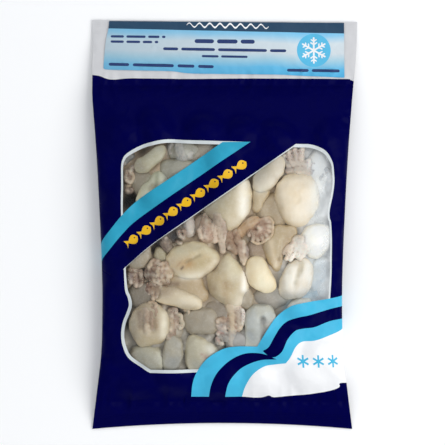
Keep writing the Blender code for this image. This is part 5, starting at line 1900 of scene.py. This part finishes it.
fin_rows = np.arange(-HALF_LENGTH + FIN_ENDS, HALF_LENGTH - FIN_ENDS, FIN_STEP)
fin_edge = FIN_ROOT - FIN_WIDTH + 0.0005 * ripple(fin_rows, fin_rows, 0.030, 81)


def fin_point(share, number):
    """A place on the fin, a share of the way from its root to its free edge."""
    q = fin_rows[number]
    _, y = bag_plan(np.zeros(1), np.array([q]))
    x = FIN_ROOT + (fin_edge[number] - FIN_ROOT) * share
    height = FIN_FLOOR + lower_film(np.zeros(1), y)[0] * (1 - 0.3 * share)
    under_front = film_height(np.array([x]), y, np.array([q]))[0] - FILM_GAP - 1.5 * FIN_THICK
    return (x, y[0], min(height, max(under_front, FIN_FLOOR)))


fin_points, fin_faces = [], []
for number in range(len(fin_rows)):
    under = [np.array(fin_point(share, number)) for share in (0.0, 0.5, 1.0)]
    fin_points += under + [point + (0, 0, FIN_THICK) for point in under[::-1]]
for row, k in ((row, k) for row in range(len(fin_rows) - 1) for k in range(6)):
    this, beside = 6 * row + k, 6 * row + (k + 1) % 6
    fin_faces.append((this, this + 6, beside + 6, beside))
last = 6 * (len(fin_rows) - 1)
for start, order in ((0, 1), (last, -1)):
    for corners in ((0, 1, 4, 5), (1, 2, 3, 4)):
        fin_faces.append(tuple(start + corner for corner in corners[::order]))
fin = piece("fin_seal", fin_points, fin_faces, smooth_shaded=False)
fin_mesh = bmesh.new()
fin_mesh.from_mesh(fin.data)
bmesh.ops.recalc_face_normals(fin_mesh, faces=fin_mesh.faces)
fin_mesh.to_mesh(fin.data)
fin_mesh.free()
dressed(fin, "bag", "printed_film", ink_materials["dark_ink"], ink_materials["header_ink"])
for face in fin.data.polygons:
    face.material_index = int(face.center.y > HEADER_EDGE)

# Welded ribs.
# The ends are welded between heated bars, which leave fine ribs along them on both sides, and the fin
# has some along its length. They are swept along lines that lie on the film.
END_RIBS, END_RIB_FIRST, END_RIB_PITCH, END_RIB_THICK = 7, 0.0022, 0.0015, 0.00016
END_RIB_POINTS, FIN_RIBS, RIB_THICK = 90, 6, 0.00012
RIB_RINGS, RIB_SIDES = 100, 5


def swept_lines():
    """Sweeps a round form along each line of a mesh, as thick as its points say, with closed ends."""
    inputs = (("Lines", "Geometry"), ("Rings", "Int", RIB_RINGS))
    inputs += (("Sides", "Int", RIB_SIDES), ("Finish", "Material"))
    tree, given, end = new_group("swept lines", "Geometry", inputs, (("Geometry", "Geometry"),))
    curve = out(tree, "GeometryNodeMeshToCurve", {"Mesh": given["Lines"]})
    even = out(tree, "GeometryNodeResampleCurve", {"Curve": curve, "Count": given["Rings"]})
    feeds = {"Curve": even, "Profile Curve": ring(tree, given["Sides"], 1.0), "Scale": mark(tree, "thick")}
    swept = out(tree, "GeometryNodeCurveToMesh", feeds | {"Fill Caps": True})
    return finished(tree, swept, given["Finish"], end)


rib_u = np.linspace(-0.985, 0.985, END_RIB_POINTS)
rib_lines = {"ribs_foot": [], "ribs_header": []}
for number in range(END_RIBS):
    for where, end in (("ribs_foot", -1), ("ribs_header", 1)):
        q = np.full_like(rib_u, end * (HALF_LENGTH - END_RIB_FIRST - END_RIB_PITCH * number))
        x, y = bag_plan(rib_u, q)
        for height in (film_height(x, y, q), np.maximum(back_height(rib_u, q, x, y), END_RIB_THICK)):
            rib_lines[where].append(np.stack([x, y, height], 1))
for share in np.linspace(0.15, 0.85, FIN_RIBS):
    line = np.array([fin_point(share, number) for number in range(len(fin_rows))])
    rib_lines["ribs_foot"].append(line[line[:, 1] < HEADER_EDGE])
    rib_lines["ribs_header"].append(line[line[:, 1] > HEADER_EDGE])
swept_tree = swept_lines()
for name, ink in (("ribs_foot", "dark_ink"), ("ribs_header", "header_ink")):
    counts = [len(line) for line in rib_lines[name]]
    starts = np.cumsum([0, *counts[:-1]])
    edges = [(s + k, s + k + 1) for s, n in zip(starts, counts) for k in range(n - 1)]
    thick = np.concatenate([np.full(n, END_RIB_THICK if n == END_RIB_POINTS else RIB_THICK) for n in counts])
    ribs = line_mesh(name, np.concatenate(rib_lines[name]), edges, thick=thick)
    settings = {"Rings": RIB_RINGS, "Sides": RIB_SIDES, "Finish": ink_materials[ink]}
    dressed(grown(ribs, swept_tree, settings), "bag", "printed_film")

# Floor and light.
# A white table under soft studio light: two large softboxes low at the sides, one behind the header
# and one in front, so that none is mirrored by the film straight up into the camera.
FLOOR_HALF, FLOOR_LEVEL = 0.9, -0.0002
SOFTBOXES = (  # azimuth, 0 being behind the foot, elevation, distance, size, power and tint
    ("lamp_right", 80, 48, 1.5, 1.2, 14.0, (1.0, 0.995, 0.98)),
    ("lamp_left", -95, 48, 1.5, 1.1, 2.6, (1.0, 0.995, 0.98)),
    ("lamp_header", 172, 50, 1.6, 1.2, 4.8, (1.0, 1.0, 1.0)),
    ("lamp_foot", -15, 45, 1.7, 1.1, 3.0, (1.0, 1.0, 1.0)),
)

corners = ((-1, -1), (1, -1), (1, 1), (-1, 1))
floor_points = [(x * FLOOR_HALF, y * FLOOR_HALF, FLOOR_LEVEL) for x, y in corners]
floor = piece("floor", floor_points, [(0, 1, 2, 3)], smooth_shaded=False)
floor_looks = {"Base Color": (0.98, 0.98, 0.98, 1), "Roughness": 0.9, "Specular IOR Level": 0.0}
floor.data.materials.append(new_material("white_table", floor_looks)[0])

for name, azimuth, elevation, distance, size, power, tint in SOFTBOXES:
    lamp = put_down(name, bpy.data.lights.new(name, "AREA"))
    a, e = math.radians(azimuth), math.radians(elevation)
    away = Vector((math.sin(a) * math.cos(e), -math.cos(a) * math.cos(e), math.sin(e)))
    lamp.location = away * distance
    lamp.rotation_mode = "QUATERNION"
    lamp.rotation_quaternion = away.to_track_quat("Z", "Y")
    lamp.data.shape, lamp.data.size = "SQUARE", size
    lamp.data.energy, lamp.data.color = power, tint

world = bpy.data.worlds.new("studio")
world.use_nodes = True
sky = world.node_tree
seen = out(sky, "ShaderNodeLightPath", output="Is Camera Ray")
paler = mixed(sky, seen, (0.8, 0.84, 0.9, 1), (1.0, 1.0, 1.0, 1))
strength = band(sky, seen, 0.0, 1.0, 0.48, 0.96, "LINEAR")
feed(sky, sky.nodes["Background"], {"Color": paler, "Strength": strength})
bpy.context.scene.world = world
bpy.context.scene.view_settings.view_transform = "Standard"

bpy.context.view_layer.update()
